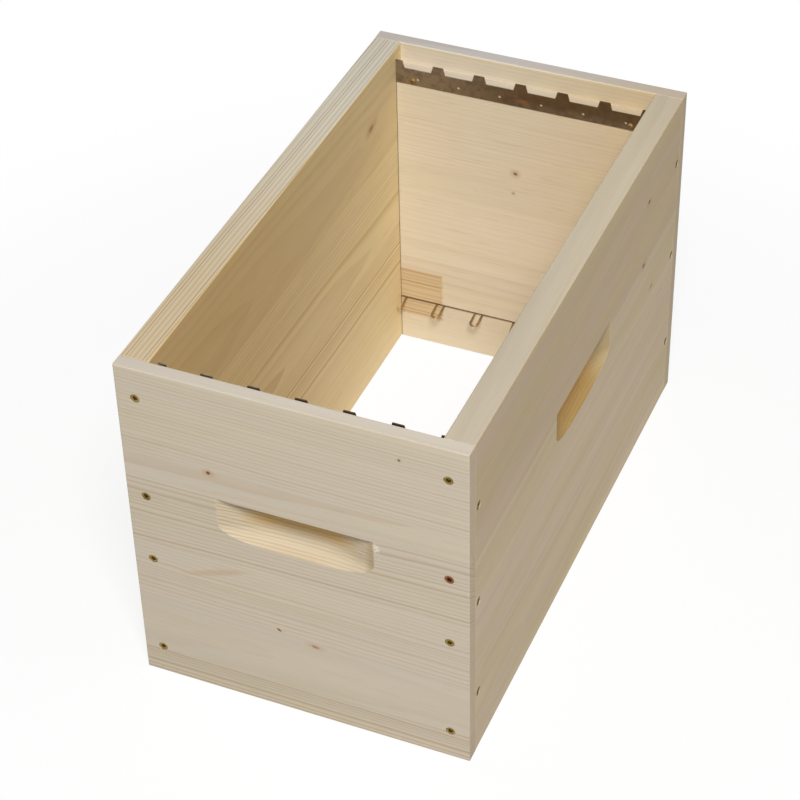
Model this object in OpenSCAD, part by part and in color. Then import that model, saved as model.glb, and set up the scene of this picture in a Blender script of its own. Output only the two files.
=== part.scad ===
// Nucleus hive body for a row of hanging frames: four lapped and screwed boards,
// castellated rails that carry the frames' lugs, and wire spacers near the underside.
// Width runs along X, length along Y and height along Z. The front is at -Y,
// and the origin is at the middle of the underside.

/* [Body] */
// Length over both end boards
body_l = 500; // [420:1:600]
// Height of the body
body_h = 314; // [290:1:380]
// Thickness of every board
board_t = 24; // [21:0.5:32]
// Thickness of the end boards' tongues, which cover the ends of the side boards
tongue_t = 12; // [9:0.5:14]

/* [Frames] */
// Number of frames that hang side by side
frame_count = 6; // [5:1:9]
// Distance between the middles of two neighbouring frames
frame_pitch = 38; // [34:0.5:44]
// Spare width beside the outer frames, both sides together
frame_play = 4; // [2:0.5:10]
// Depth of the shelf for the frames' lugs below the top edge
shelf_drop = 19.5; // [16:0.5:26]

/* [Frame rails] */
// Sheet thickness of a rail
rail_t = 1; // [0.7:0.1:2]
// Height of a rail's strip below its notches
rail_h = 15.4; // [13:0.1:20]
// Height of the notches above the lug shelf
rail_stand = 2.7; // [0.5:0.1:4]
// Gap between a rail's end and the side board
rail_end_gap = 0.5; // [0.1:0.1:1.5]
// Height of a tooth above the notches
tooth_h = 7; // [4:0.1:9]
// Width of a tooth at its tip
tooth_tip_w = 9.2; // [6:0.1:11]
// Width of a tooth at its root
tooth_root_w = 12.9; // [11:0.1:16]
// Diameter of the small hole under each notch
rail_hole_d = 2.6; // [1.5:0.1:3.5]
// Height of the small holes above the rail's lower edge
rail_hole_z = 6; // [5:0.1:9]

/* [Rail screws] */
// Diameter of a rail screw's shank
rail_screw_d = 3; // [2.5:0.1:3.5]
// Length of a rail screw under its head
rail_screw_l = 15; // [10:0.5:18]
// Diameter of a rail screw's round head
rail_head_d = 6; // [5:0.1:6.4]
// Height of a rail screw's round head
rail_head_h = 2.2; // [1.5:0.1:3]
// Distance of a rail screw outwards from the outermost small hole
rail_screw_out = 4.4; // [4.2:0.1:7]
// Height of a rail screw above the rail's lower edge
rail_screw_z = 4; // [3.4:0.1:5]

/* [Wire spacers] */
// Diameter of the wire
wire_d = 2; // [1.5:0.1:2.6]
// Height of the wire's kerf above the underside
wire_z = 46; // [40:1:50]
// Depth of the kerf in the end board
kerf_depth = 5; // [4.5:0.1:8]
// Clearance between the wire and the walls of its kerf
wire_fit = 0.1; // [0.05:0.05:0.3]
// Width of a loop, between the middles of its legs
loop_w = 7.2; // [5:0.1:10]
// Reach of a loop's tip from the wall
loop_reach = 14; // [10:0.5:20]
// Drop of a loop's tip below its kerf
loop_drop = 4; // [0:0.5:8]
// Radius of the wire's bends in the kerf
wire_bend_r = 3; // [2:0.1:4]

/* [Corner screws] */
// Diameter of a corner screw's shank
screw_d = 4; // [3:0.1:5]
// Length of a corner screw, head included
screw_l = 40; // [34:1:45]
// Diameter of a corner screw's countersunk head
screw_head_d = 7.6; // [6.5:0.1:9]
// Depth of a corner screw's head below the face
screw_sink = 0.4; // [0:0.1:1]
// Clearance between a screw and its hole
screw_fit = 0.1; // [0.05:0.05:0.3]
// Distance of the end screws from the body's side faces
end_screw_inset = 16; // [10:0.5:18]
// Distance of the outer end screws from the top and bottom edges
end_screw_margin = 28; // [20:0.5:34]
// Distance between the two middle end screws of a corner
end_screw_gap = 65; // [50:1:80]
// Distance of the outer side screws from the top and bottom edges
side_screw_margin = 61; // [55:0.5:70]

/* [Handholds] */
// Width of a handhold along its straight upper edge
hand_w = 129; // [100:1:150]
// Height of a handhold at its middle
hand_h = 38.2; // [25:0.1:45]
// Depth of a handhold at its middle
hand_depth = 14; // [8:0.5:16]
// Distance of the upper edge below the top of the body
hand_drop = 107.7; // [80:0.1:130]

/* [Hidden] */

// Reach of every cut past the face that it opens
overrun = 2;

// Colours of the finishes
end_wood = [0.83, 0.76, 0.66];
side_wood = [0.80, 0.72, 0.60];
rail_metal = [0.45, 0.38, 0.30];
wire_metal = [0.42, 0.36, 0.28];
screw_metal = [0.66, 0.52, 0.22];

// Body
chamber_w = frame_count * frame_pitch + frame_play;
body_w = chamber_w + 2 * board_t;
chamber_l = body_l - 2 * board_t;
inner_face_y = chamber_l / 2;
tongue_back_y = body_l / 2 - tongue_t;
side_board_l = 2 * tongue_back_y;
shelf_t = board_t - tongue_t;
shelf_z = body_h - shelf_drop;

// Rails, with one tooth between neighbouring frames and one beside each side board
rail_l = chamber_w - 2 * rail_end_gap;
notch_z = shelf_z + rail_stand;
rail_z = notch_z - rail_h;
tooth_xs = [for (i = [0 : frame_count]) (i - frame_count / 2) * frame_pitch];
notch_xs = [for (i = [1 : frame_count]) (tooth_xs[i - 1] + tooth_xs[i]) / 2];
rail_screw_x = notch_xs[frame_count - 1] + rail_screw_out;

// Corner screws
end_screw_x = body_w / 2 - end_screw_inset;
end_screw_zs = [
    end_screw_margin,
    (body_h - end_screw_gap) / 2,
    (body_h + end_screw_gap) / 2,
    body_h - end_screw_margin
];
side_screw_y = tongue_back_y - shelf_t / 2;
side_screw_zs = [side_screw_margin, body_h / 2, body_h - side_screw_margin];
screw_rim = 0.3;
screw_tip_l = 6;
screw_point_d = 0.6;
recess_span = 4.2;
recess_w = 1.1;
recess_depth = 1.5;
rail_recess_span = 3.4;
rail_recess_w = 0.9;
rail_recess_depth = 1.1;
rail_tip_l = 4;
dome_steps = 6;

// Handholds, cut by a disc that turns about an upright axis in front of the face
hand_r = (pow(hand_w / 2, 2) + pow(hand_depth, 2)) / (2 * hand_depth);
hand_round_r = min(hand_depth, hand_h);
hand_top_z = body_h - hand_drop;
hand_steps = 10;

// Wire, one bent length per end board
wire_run_v = -kerf_depth + wire_d / 2 + wire_fit;
kerf_h = wire_d + 2 * wire_fit;
wire_sides = 8;
bend_steps = 3;
loop_steps = 8;

$fn = 48;

// Points on an arc round a middle, from one angle to another
function arc(middle, r, from, to, steps) =
    [for (i = [0 : steps]) let (a = from + (to - from) * i / steps)
        middle + r * [cos(a), sin(a)]];

// A point of the wire's route, which drops as it leaves the wall
function hung(p) = [p[0], p[1], -loop_drop * max(0, p[1]) / loop_reach];

// Route of a leg between its bend in the kerf and its loop, on one side of the loop's middle
function leg_out(x) =
    concat(arc([x - wire_bend_r, wire_run_v + wire_bend_r], wire_bend_r, -90, 0, bend_steps), [[x, 0]]);
function leg_back(x) =
    concat([[x, 0]], arc([x + wire_bend_r, wire_run_v + wire_bend_r], wire_bend_r, 180, 270, bend_steps));

// Route of the round tip of a loop
function tip(x, from, to, steps) = arc([x, loop_reach - loop_w / 2], loop_w / 2, from, to, steps);

// Route of the whole wire: half a loop at each end and a full loop at every tooth between
wire_route = concat(
    tip(tooth_xs[0], 90, 0, loop_steps / 2),
    leg_back(tooth_xs[0] + loop_w / 2),
    [for (i = [1 : frame_count - 1], p = concat(
        leg_out(tooth_xs[i] - loop_w / 2),
        tip(tooth_xs[i], 180, 0, loop_steps),
        leg_back(tooth_xs[i] + loop_w / 2))) p],
    leg_out(tooth_xs[frame_count] - loop_w / 2),
    tip(tooth_xs[frame_count], 180, 90, loop_steps / 2)
);

// Round bar along a list of points, with its rings square to the route
module swept_bar(route, d, sides) {
    last = len(route) - 1;
    rings = [for (i = [0 : last], k = [0 : sides - 1])
        let (
            along = route[min(i + 1, last)] - route[max(i - 1, 0)],
            ahead = along / norm(along),
            flat = cross(ahead, [0, 0, 1]),
            beside = flat / norm(flat),
            above = cross(beside, ahead),
            a = 360 * k / sides
        ) route[i] + d / 2 * (cos(a) * beside + sin(a) * above)];
    walls = [for (i = [0 : last - 1], k = [0 : sides - 1], half = [0, 1])
        let (a = i * sides + k, b = i * sides + (k + 1) % sides)
        half == 0 ? [a, b, b + sides] : [a, b + sides, a + sides]];
    start_cap = [for (k = [1 : sides - 2]) [0, k + 1, k]];
    end_cap = [for (k = [1 : sides - 2]) last * sides * [1, 1, 1] + [0, k, k + 1]];
    polyhedron(points = rings, faces = concat(walls, start_cap, end_cap));
}

// Countersunk screw that points down from a face at height 0, or its hole when grown
module corner_screw(grow = 0) {
    top_z = -screw_sink;
    head_r = screw_head_d / 2 + grow;
    shank_r = screw_d / 2 + grow;
    neck_z = top_z - screw_rim - (head_r - shank_r);
    tip_z = top_z - screw_l - grow;
    rotate_extrude()
        polygon([
            [0, top_z], [head_r, top_z], [head_r, top_z - screw_rim], [shank_r, neck_z],
            [shank_r, tip_z + screw_tip_l], [screw_point_d / 2 + grow, tip_z], [0, tip_z]
        ]);
}

// Cross recess that opens upwards at a height
module cross_recess(top_z, span, width, depth) {
    for (turn = [0, 90])
        rotate([0, 0, turn])
            translate([-span / 2, -width / 2, top_z - depth])
                cube([span, width, depth + overrun]);
}

module driven_screw() {
    difference() {
        corner_screw();
        cross_recess(-screw_sink, recess_span, recess_w, recess_depth);
    }
}

module corner_screw_hole() {
    corner_screw(screw_fit);
    translate([0, 0, -screw_sink])
        cylinder(h = screw_sink + overrun, d = screw_head_d + 2 * screw_fit);
}

// Round-head screw whose shank points down from the rail's face at height 0
module rail_screw() {
    difference() {
        rotate_extrude()
            polygon(concat(
                [for (i = [0 : dome_steps]) let (a = 90 * i / dome_steps)
                    [rail_head_d / 2 * sin(a), rail_head_h * cos(a)]],
                [
                    [rail_screw_d / 2, 0], [rail_screw_d / 2, -rail_screw_l + rail_tip_l],
                    [screw_point_d / 2, -rail_screw_l], [0, -rail_screw_l]
                ]));
        cross_recess(rail_head_h, rail_recess_span, rail_recess_w, rail_recess_depth);
    }
}

module rail_screw_hole() {
    translate([0, 0, -rail_screw_l - screw_fit])
        cylinder(h = rail_screw_l + screw_fit + overrun, d = rail_screw_d + 2 * screw_fit);
}

// Places for what is driven into the front face at one corner: side is -1 for left, 1 for right
module on_front_face(side) {
    for (z = end_screw_zs)
        translate([side * end_screw_x, -body_l / 2, z])
            rotate([90, 0, 0])
                children();
}

// Places for what is driven into the left face at one corner: end is -1 for front, 1 for rear
module on_left_face(end) {
    for (z = side_screw_zs)
        translate([-body_w / 2, end * side_screw_y, z])
            rotate([0, -90, 0])
                children();
}

// Place of a rail screw in the front rail: side is -1 for left, 1 for right
module on_front_rail(side) {
    translate([side * rail_screw_x, -inner_face_y + rail_t, rail_z + rail_screw_z])
        rotate([-90, 0, 0])
            children();
}

// Handhold cutter for a face that looks along -Y and lies at the given place
module hand_cutter(face_y) {
    rim = hand_r - hand_round_r;
    translate([0, face_y - hand_r + hand_depth, hand_top_z])
        rotate_extrude($fn = 180)
            polygon(concat(
                [[0, 0], [hand_r, 0]],
                [for (i = [0 : hand_steps]) let (a = 90 * i / hand_steps)
                    [rim + hand_round_r * cos(a), -hand_h + hand_round_r * (1 - sin(a))]],
                [[0, -hand_h]]));
}

// End board at the front: a full-width tongue slab, with the chamber's wall and shelf behind it
module end_board() {
    difference() {
        union() {
            translate([-body_w / 2, -body_l / 2, 0])
                cube([body_w, tongue_t, body_h]);
            translate([-chamber_w / 2, -tongue_back_y, 0])
                cube([chamber_w, shelf_t, shelf_z]);
        }
        hand_cutter(-body_l / 2);
        translate([-chamber_w / 2 - overrun, -inner_face_y - kerf_depth, wire_z - kerf_h / 2])
            cube([chamber_w + 2 * overrun, kerf_depth + overrun, kerf_h]);
        for (side = [-1, 1]) {
            on_front_face(side) corner_screw_hole();
            on_front_rail(side) rail_screw_hole();
        }
        on_left_face(-1) corner_screw_hole();
        rotate([0, 0, 180]) on_left_face(1) corner_screw_hole();
    }
}

// Side board at the left, between the tongues of the end boards
module side_board() {
    difference() {
        translate([-body_w / 2, -side_board_l / 2, 0])
            cube([board_t, side_board_l, body_h]);
        rotate([0, 0, -90]) hand_cutter(-body_w / 2);
        for (end = [-1, 1])
            on_left_face(end) corner_screw_hole();
        on_front_face(-1) corner_screw_hole();
        rotate([0, 0, 180]) on_front_face(1) corner_screw_hole();
    }
}

// Castellated rail on the inner face of the front board
module frame_rail() {
    difference() {
        translate([0, -inner_face_y + rail_t, rail_z])
            rotate([90, 0, 0])
                linear_extrude(rail_t)
                    intersection() {
                        translate([-rail_l / 2, 0])
                            square([rail_l, rail_h + tooth_h]);
                        union() {
                            translate([-rail_l / 2, 0])
                                square([rail_l, rail_h]);
                            for (x = tooth_xs)
                                translate([x, rail_h])
                                    tooth_outline();
                        }
                    }
        for (x = notch_xs)
            translate([x, -inner_face_y - overrun, rail_z + rail_hole_z])
                rotate([-90, 0, 0])
                    cylinder(h = rail_t + 2 * overrun, d = rail_hole_d);
        for (side = [-1, 1])
            on_front_rail(side) rail_screw_hole();
    }
}

// Tooth, with its root carried down into the strip
module tooth_outline() {
    polygon([
        [-tooth_root_w / 2, -rail_h / 2], [tooth_root_w / 2, -rail_h / 2], [tooth_root_w / 2, 0],
        [tooth_tip_w / 2, tooth_h], [-tooth_tip_w / 2, tooth_h], [-tooth_root_w / 2, 0]
    ]);
}

// Bent wire in the front board's kerf
module wire_spacer() {
    translate([0, -inner_face_y, wire_z])
        swept_bar([for (p = wire_route) hung(p)], wire_d, wire_sides);
}

module turned() {
    rotate([0, 0, 180])
        children();
}

module front_board() { color(end_wood) end_board(); }
module rear_board() { color(end_wood) turned() end_board(); }
module left_board() { color(side_wood) side_board(); }
module right_board() { color(side_wood) turned() side_board(); }
module front_frame_rail() { color(rail_metal) frame_rail(); }
module rear_frame_rail() { color(rail_metal) turned() frame_rail(); }
module front_wire_spacer() { color(wire_metal) wire_spacer(); }
module rear_wire_spacer() { color(wire_metal) turned() wire_spacer(); }
module front_left_end_screws() { color(screw_metal) on_front_face(-1) driven_screw(); }
module front_right_end_screws() { color(screw_metal) on_front_face(1) driven_screw(); }
module rear_left_end_screws() { color(screw_metal) turned() on_front_face(1) driven_screw(); }
module rear_right_end_screws() { color(screw_metal) turned() on_front_face(-1) driven_screw(); }
module front_left_side_screws() { color(screw_metal) on_left_face(-1) driven_screw(); }
module front_right_side_screws() { color(screw_metal) turned() on_left_face(1) driven_screw(); }
module rear_left_side_screws() { color(screw_metal) on_left_face(1) driven_screw(); }
module rear_right_side_screws() { color(screw_metal) turned() on_left_face(-1) driven_screw(); }
module front_rail_left_screw() { color(screw_metal) on_front_rail(-1) rail_screw(); }
module front_rail_right_screw() { color(screw_metal) on_front_rail(1) rail_screw(); }
module rear_rail_left_screw() { color(screw_metal) turned() on_front_rail(1) rail_screw(); }
module rear_rail_right_screw() { color(screw_metal) turned() on_front_rail(-1) rail_screw(); }

front_board();
rear_board();
left_board();
right_board();
front_frame_rail();
rear_frame_rail();
front_wire_spacer();
rear_wire_spacer();
front_left_end_screws();
front_right_end_screws();
rear_left_end_screws();
rear_right_end_screws();
front_left_side_screws();
front_right_side_screws();
rear_left_side_screws();
rear_right_side_screws();
front_rail_left_screw();
front_rail_right_screw();
rear_rail_left_screw();
rear_rail_right_screw();
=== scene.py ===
"""Nucleus hive body: boards, frame rails, wire spacers and screws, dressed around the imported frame."""

import logging
import math
from collections.abc import Callable, Sequence
from dataclasses import dataclass, field
from enum import Enum
from typing import Any

import bmesh
import bpy
from mathutils import Matrix, Quaternion, Vector


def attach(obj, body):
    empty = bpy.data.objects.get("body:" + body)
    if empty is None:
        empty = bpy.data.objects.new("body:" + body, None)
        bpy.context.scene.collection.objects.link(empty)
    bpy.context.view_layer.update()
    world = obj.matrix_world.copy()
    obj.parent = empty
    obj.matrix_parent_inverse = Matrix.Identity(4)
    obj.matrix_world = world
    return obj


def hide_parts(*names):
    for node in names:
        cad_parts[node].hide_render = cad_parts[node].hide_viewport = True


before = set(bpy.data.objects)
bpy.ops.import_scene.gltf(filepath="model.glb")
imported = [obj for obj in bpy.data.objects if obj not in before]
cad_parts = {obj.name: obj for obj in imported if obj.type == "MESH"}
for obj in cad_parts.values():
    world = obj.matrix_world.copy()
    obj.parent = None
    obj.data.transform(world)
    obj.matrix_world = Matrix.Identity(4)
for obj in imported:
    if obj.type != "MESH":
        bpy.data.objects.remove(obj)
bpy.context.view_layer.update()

log = logging.getLogger("nuc_box")
MM = 0.001
NEAR = MM / 10
FRAMES = 6
FRAME_PITCH = 38 * MM
RAIL_THICK = 1 * MM
WIRE_Z = 46 * MM
FLAT_CREASE = 12
TURNED_CREASE = 25
WIRE_CREASE = 40
FLAT_ANGLE = math.radians(1)
SQUARE_ANGLE = math.radians(60)
Point = tuple[float, float, float]
Colour = tuple[float, float, float, float]
Pair = tuple[float, float]
Piece = bpy.types.Object
Material = bpy.types.Material
Node = bpy.types.Node
Socket = bpy.types.NodeSocket
Tree = bpy.types.NodeTree


class End(Enum):
    """End of the body, by the sign of its Y."""

    FRONT = -1
    REAR = 1


class Side(Enum):
    """Side of the body, by the sign of its X."""

    LEFT = -1
    RIGHT = 1


class Slot(Enum):
    """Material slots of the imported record."""

    END_BOARD = "end_board_wood"
    SIDE_BOARD = "side_board_wood"
    RAIL = "rail_sheet"
    WIRE = "spacer_wire"
    CORNER_SCREW = "corner_screws"
    RAIL_SCREW = "rail_screws"


class Part(Enum):
    """What a selection picks, by the name of its select mode."""

    VERT = "verts"
    EDGE = "edges"
    FACE = "faces"


def paint(red: int, green: int, blue: int) -> Colour:
    """Turn a display colour of 0 to 255 into the linear one that nodes take.

    Args:
        red: Red as displayed.
        green: Green as displayed.
        blue: Blue as displayed.

    Returns:
        Linear colour with full alpha.
    """

    def linear(value: int) -> float:
        """Linear share of one channel."""
        share = value / 255
        return share / 12.92 if share <= 0.04045 else ((share + 0.055) / 1.055) ** 2.4

    return linear(red), linear(green), linear(blue), 1.0


@dataclass(frozen=True)
class BodySizes:
    """Sizes of the body in metres, as in the part's source."""

    width: float = 280 * MM
    length: float = 500 * MM
    height: float = 314 * MM
    board: float = 24 * MM
    tongue: float = 12 * MM
    shelf_drop: float = 19.5 * MM
    arris: float = 0.9 * MM
    seam: float = 0.35 * MM
    corner_seam: float = 0.8 * MM
    lip_arris: float = 1.1 * MM
    overrun: float = 2 * MM

    @property
    def chamber_width(self) -> float:
        """Clear width between the side boards."""
        return self.width - 2 * self.board

    @property
    def inner_y(self) -> float:
        """Distance of an end board's inner face from the middle."""
        return self.length / 2 - self.board

    @property
    def tongue_back(self) -> float:
        """Distance of a tongue's back face from the middle."""
        return self.length / 2 - self.tongue

    @property
    def shelf_z(self) -> float:
        """Height of the lug shelf."""
        return self.height - self.shelf_drop


class Bench:
    """Modelling moves on one object at a time, made with Blender's own operators."""

    @staticmethod
    def clear() -> None:
        """Leave edit mode and deselect everything."""
        if bpy.context.object and bpy.context.object.mode != "OBJECT":
            bpy.ops.object.mode_set(mode="OBJECT")
        bpy.ops.object.select_all(action="DESELECT")

    @staticmethod
    def take(piece: Piece) -> None:
        """Make one piece the only selected and active one."""
        Bench.clear()
        piece.select_set(True)
        bpy.context.view_layer.objects.active = piece

    @staticmethod
    def edit(piece: Piece) -> None:
        """Open one piece in edit mode with nothing selected."""
        Bench.take(piece)
        bpy.ops.object.mode_set(mode="EDIT")
        bpy.ops.mesh.select_all(action="DESELECT")

    @staticmethod
    def settle(piece: Piece) -> None:
        """Put a piece's place, turn and scale into its mesh."""
        Bench.take(piece)
        bpy.ops.object.transform_apply(location=True, rotation=True, scale=True)

    @staticmethod
    def label(piece: Piece, name: str) -> None:
        """Give a piece and its mesh one name."""
        piece.name = name
        piece.data.name = name

    @staticmethod
    def block(name: str, low: Sequence[float], high: Sequence[float]) -> Piece:
        """Start a piece from a cube between two corners.

        Args:
            name: Name of the piece.
            low: Lowest corner.
            high: Highest corner.

        Returns:
            The new object, with its place in its mesh.
        """
        Bench.clear()
        middle = [(a + b) / 2 for a, b in zip(low, high)]
        span = [b - a for a, b in zip(low, high)]
        bpy.ops.mesh.primitive_cube_add(size=1, location=middle, scale=span)
        piece = bpy.context.object
        Bench.label(piece, name)
        Bench.settle(piece)
        return piece

    @staticmethod
    def pick(piece: Piece, part: Part, test: Callable[[Any], bool]) -> int:
        """Select the faces, edges or vertices of the piece in edit mode that pass a test.

        Args:
            piece: Piece that is open in edit mode.
            part: What is picked.
            test: Says of one face, edge or vertex whether it is picked.

        Returns:
            How many were picked.
        """
        bpy.ops.mesh.select_mode(type=part.name)
        bpy.ops.mesh.select_all(action="DESELECT")
        mesh = bmesh.from_edit_mesh(piece.data)
        picked = [item for item in getattr(mesh, part.value) if test(item)]
        for item in picked:
            item.select_set(True)
        mesh.select_flush_mode()
        bmesh.update_edit_mesh(piece.data)
        return len(picked)

    @staticmethod
    def split(place: Point, normal: Point) -> None:
        """Cut the faces of the piece in edit mode along a plane, and keep both sides."""
        bpy.ops.mesh.select_all(action="SELECT")
        bpy.ops.mesh.bisect(plane_co=place, plane_no=normal)

    @staticmethod
    def ease(piece: Piece, width: float, steps: int, test: Callable[[Any], bool]) -> None:
        """Round the edges that pass a test.

        Args:
            piece: Piece to work on.
            width: Width of the rounding.
            steps: Number of faces across it.
            test: Says of one edge whether it is rounded.
        """
        Bench.edit(piece)
        if Bench.pick(piece, Part.EDGE, test):
            bpy.ops.mesh.bevel(offset=width, segments=steps, affect="EDGES", clamp_overlap=True)
        Bench.clear()

    @staticmethod
    def chain(name: str, points: Sequence[Sequence[float]], closed: bool) -> Piece:
        """Draw a line of edges by pulling one vertex from point to point.

        Args:
            name: Name of the new object.
            points: Points of the line.
            closed: Whether the line runs back to its start and is filled with a face.

        Returns:
            The new object.
        """
        Bench.clear()
        bpy.ops.mesh.primitive_plane_add(size=MM, location=(0, 0, 0))
        piece = bpy.context.object
        Bench.label(piece, name)
        bpy.ops.object.mode_set(mode="EDIT")
        bpy.ops.mesh.select_mode(type="VERT")
        bpy.ops.mesh.select_all(action="SELECT")
        bpy.ops.mesh.merge(type="CENTER")
        stops = [Vector(p) for p in points]
        bpy.ops.transform.translate(value=stops[0])
        for here, there in zip(stops, stops[1:] + stops[:1] if closed else stops[1:]):
            bpy.ops.mesh.extrude_region_move(TRANSFORM_OT_translate={"value": there - here})
        if closed:
            bpy.ops.mesh.select_all(action="SELECT")
            bpy.ops.mesh.remove_doubles(threshold=MM / 1000)
            bpy.ops.mesh.edge_face_add()
        Bench.clear()
        return piece

    @staticmethod
    def spin(piece: Piece, steps: int, degrees: float = 360) -> None:
        """Turn a profile about the upright axis through the origin into a closed solid.

        Args:
            piece: Profile, drawn in a plane through the axis.
            steps: Number of faces round the turn.
            degrees: Angle of the turn.
        """
        Bench.edit(piece)
        bpy.ops.mesh.select_mode(type="VERT")
        bpy.ops.mesh.select_all(action="SELECT")
        bpy.ops.mesh.spin(steps=steps, angle=math.radians(degrees), center=(0, 0, 0), axis=(0, 0, 1))
        Bench.close(piece)

    @staticmethod
    def pin(name: str, radius: float, high: float, low: float, steps: int) -> Piece:
        """Turn a round pin that stands on the upright axis through the origin.

        Args:
            name: Name of the pin.
            radius: Its radius.
            high: Height of its upper end.
            low: Height of its lower end.
            steps: Number of faces round it.

        Returns:
            The new object.
        """
        rows = [(0, 0, high), (radius, 0, high), (radius, 0, low), (0, 0, low)]
        made = Bench.chain(name, rows, closed=False)
        Bench.spin(made, steps)
        return made

    @staticmethod
    def close(piece: Piece) -> None:
        """Merge the doubles of the piece and point its faces outwards."""
        Bench.edit(piece)
        bpy.ops.mesh.select_all(action="SELECT")
        bpy.ops.mesh.remove_doubles(threshold=MM / 500)
        bpy.ops.mesh.normals_make_consistent(inside=False)
        Bench.clear()

    @staticmethod
    def finish(piece: Piece, kind: str, **settings: Any) -> None:
        """Add a modifier with its settings and apply it.

        Args:
            piece: Piece to work on.
            kind: Modifier type.
            settings: Values of the modifier's fields.
        """
        Bench.take(piece)
        bpy.ops.object.modifier_add(type=kind)
        added = piece.modifiers[-1]
        for name, value in settings.items():
            setattr(added, name, value)
        bpy.ops.object.modifier_apply(modifier=added.name)

    @staticmethod
    def cut(piece: Piece, cutter: Piece) -> None:
        """Take a cutter's shape out of a piece, and throw the cutter away."""
        Bench.finish(piece, "BOOLEAN", operation="DIFFERENCE", solver="EXACT", object=cutter)
        bpy.data.objects.remove(cutter, do_unlink=True)

    @staticmethod
    def copy(piece: Piece, name: str, move: Matrix) -> Piece:
        """Copy a piece with its own mesh and move the copy.

        Args:
            piece: Piece to copy.
            name: Name of the copy.
            move: Move from the piece's place to the copy's.

        Returns:
            The copy, with its place in its mesh.
        """
        Bench.take(piece)
        bpy.ops.object.duplicate(linked=False)
        twin = bpy.context.object
        Bench.label(twin, name)
        twin.matrix_world = move
        Bench.settle(twin)
        return twin

    @staticmethod
    def join(name: str, pieces: Sequence[Piece]) -> Piece:
        """Join pieces into the first of them, and name it."""
        Bench.take(pieces[0])
        for piece in pieces[1:]:
            piece.select_set(True)
        bpy.ops.object.join()
        joined = bpy.context.object
        joined.name = name
        Bench.clear()
        return joined

    @staticmethod
    def smooth(piece: Piece, degrees: float) -> None:
        """Shade a piece smooth across edges below an angle."""
        Bench.take(piece)
        bpy.ops.object.shade_smooth_by_angle(angle=math.radians(degrees))
        Bench.clear()


HALF_TURN = Matrix.Rotation(math.pi, 4, "Z")


def aimed(place: Sequence[float], outward: Sequence[float], turn: float = 0) -> Matrix:
    """Move that stands a piece, modelled along +Z, at a place along a direction.

    Args:
        place: Where the piece's origin goes.
        outward: Direction that the piece's +Z takes.
        turn: Turn about its own axis, in degrees.

    Returns:
        The move as a matrix.
    """
    swing: Quaternion = Vector((0, 0, 1)).rotation_difference(Vector(outward))
    return (
        Matrix.Translation(place)
        @ swing.to_matrix().to_4x4()
        @ Matrix.Rotation(math.radians(turn), 4, "Z")
    )


def put(piece: Piece, node: str, slot: Slot) -> None:
    """Ride a piece on the body, in the place of a CAD node, and report it.

    Args:
        piece: Finished piece.
        node: CAD node that it stands for.
        slot: Record slot of its finish; not used.
    """
    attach(piece, "root")
    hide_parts(node)
    log.info("%s: %d faces, for %s", piece.name, len(piece.data.polygons), node)


def clad(piece: Piece, *materials: Material) -> None:
    """Give a piece its materials in order, and no others."""
    piece.data.materials.clear()
    for made in materials:
        piece.data.materials.append(made)


def tooth_places(frames: int, pitch: float) -> list[float]:
    """Middles of a rail's teeth along the board, one more than the frames."""
    return [(n - frames / 2) * pitch for n in range(frames + 1)]


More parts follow.
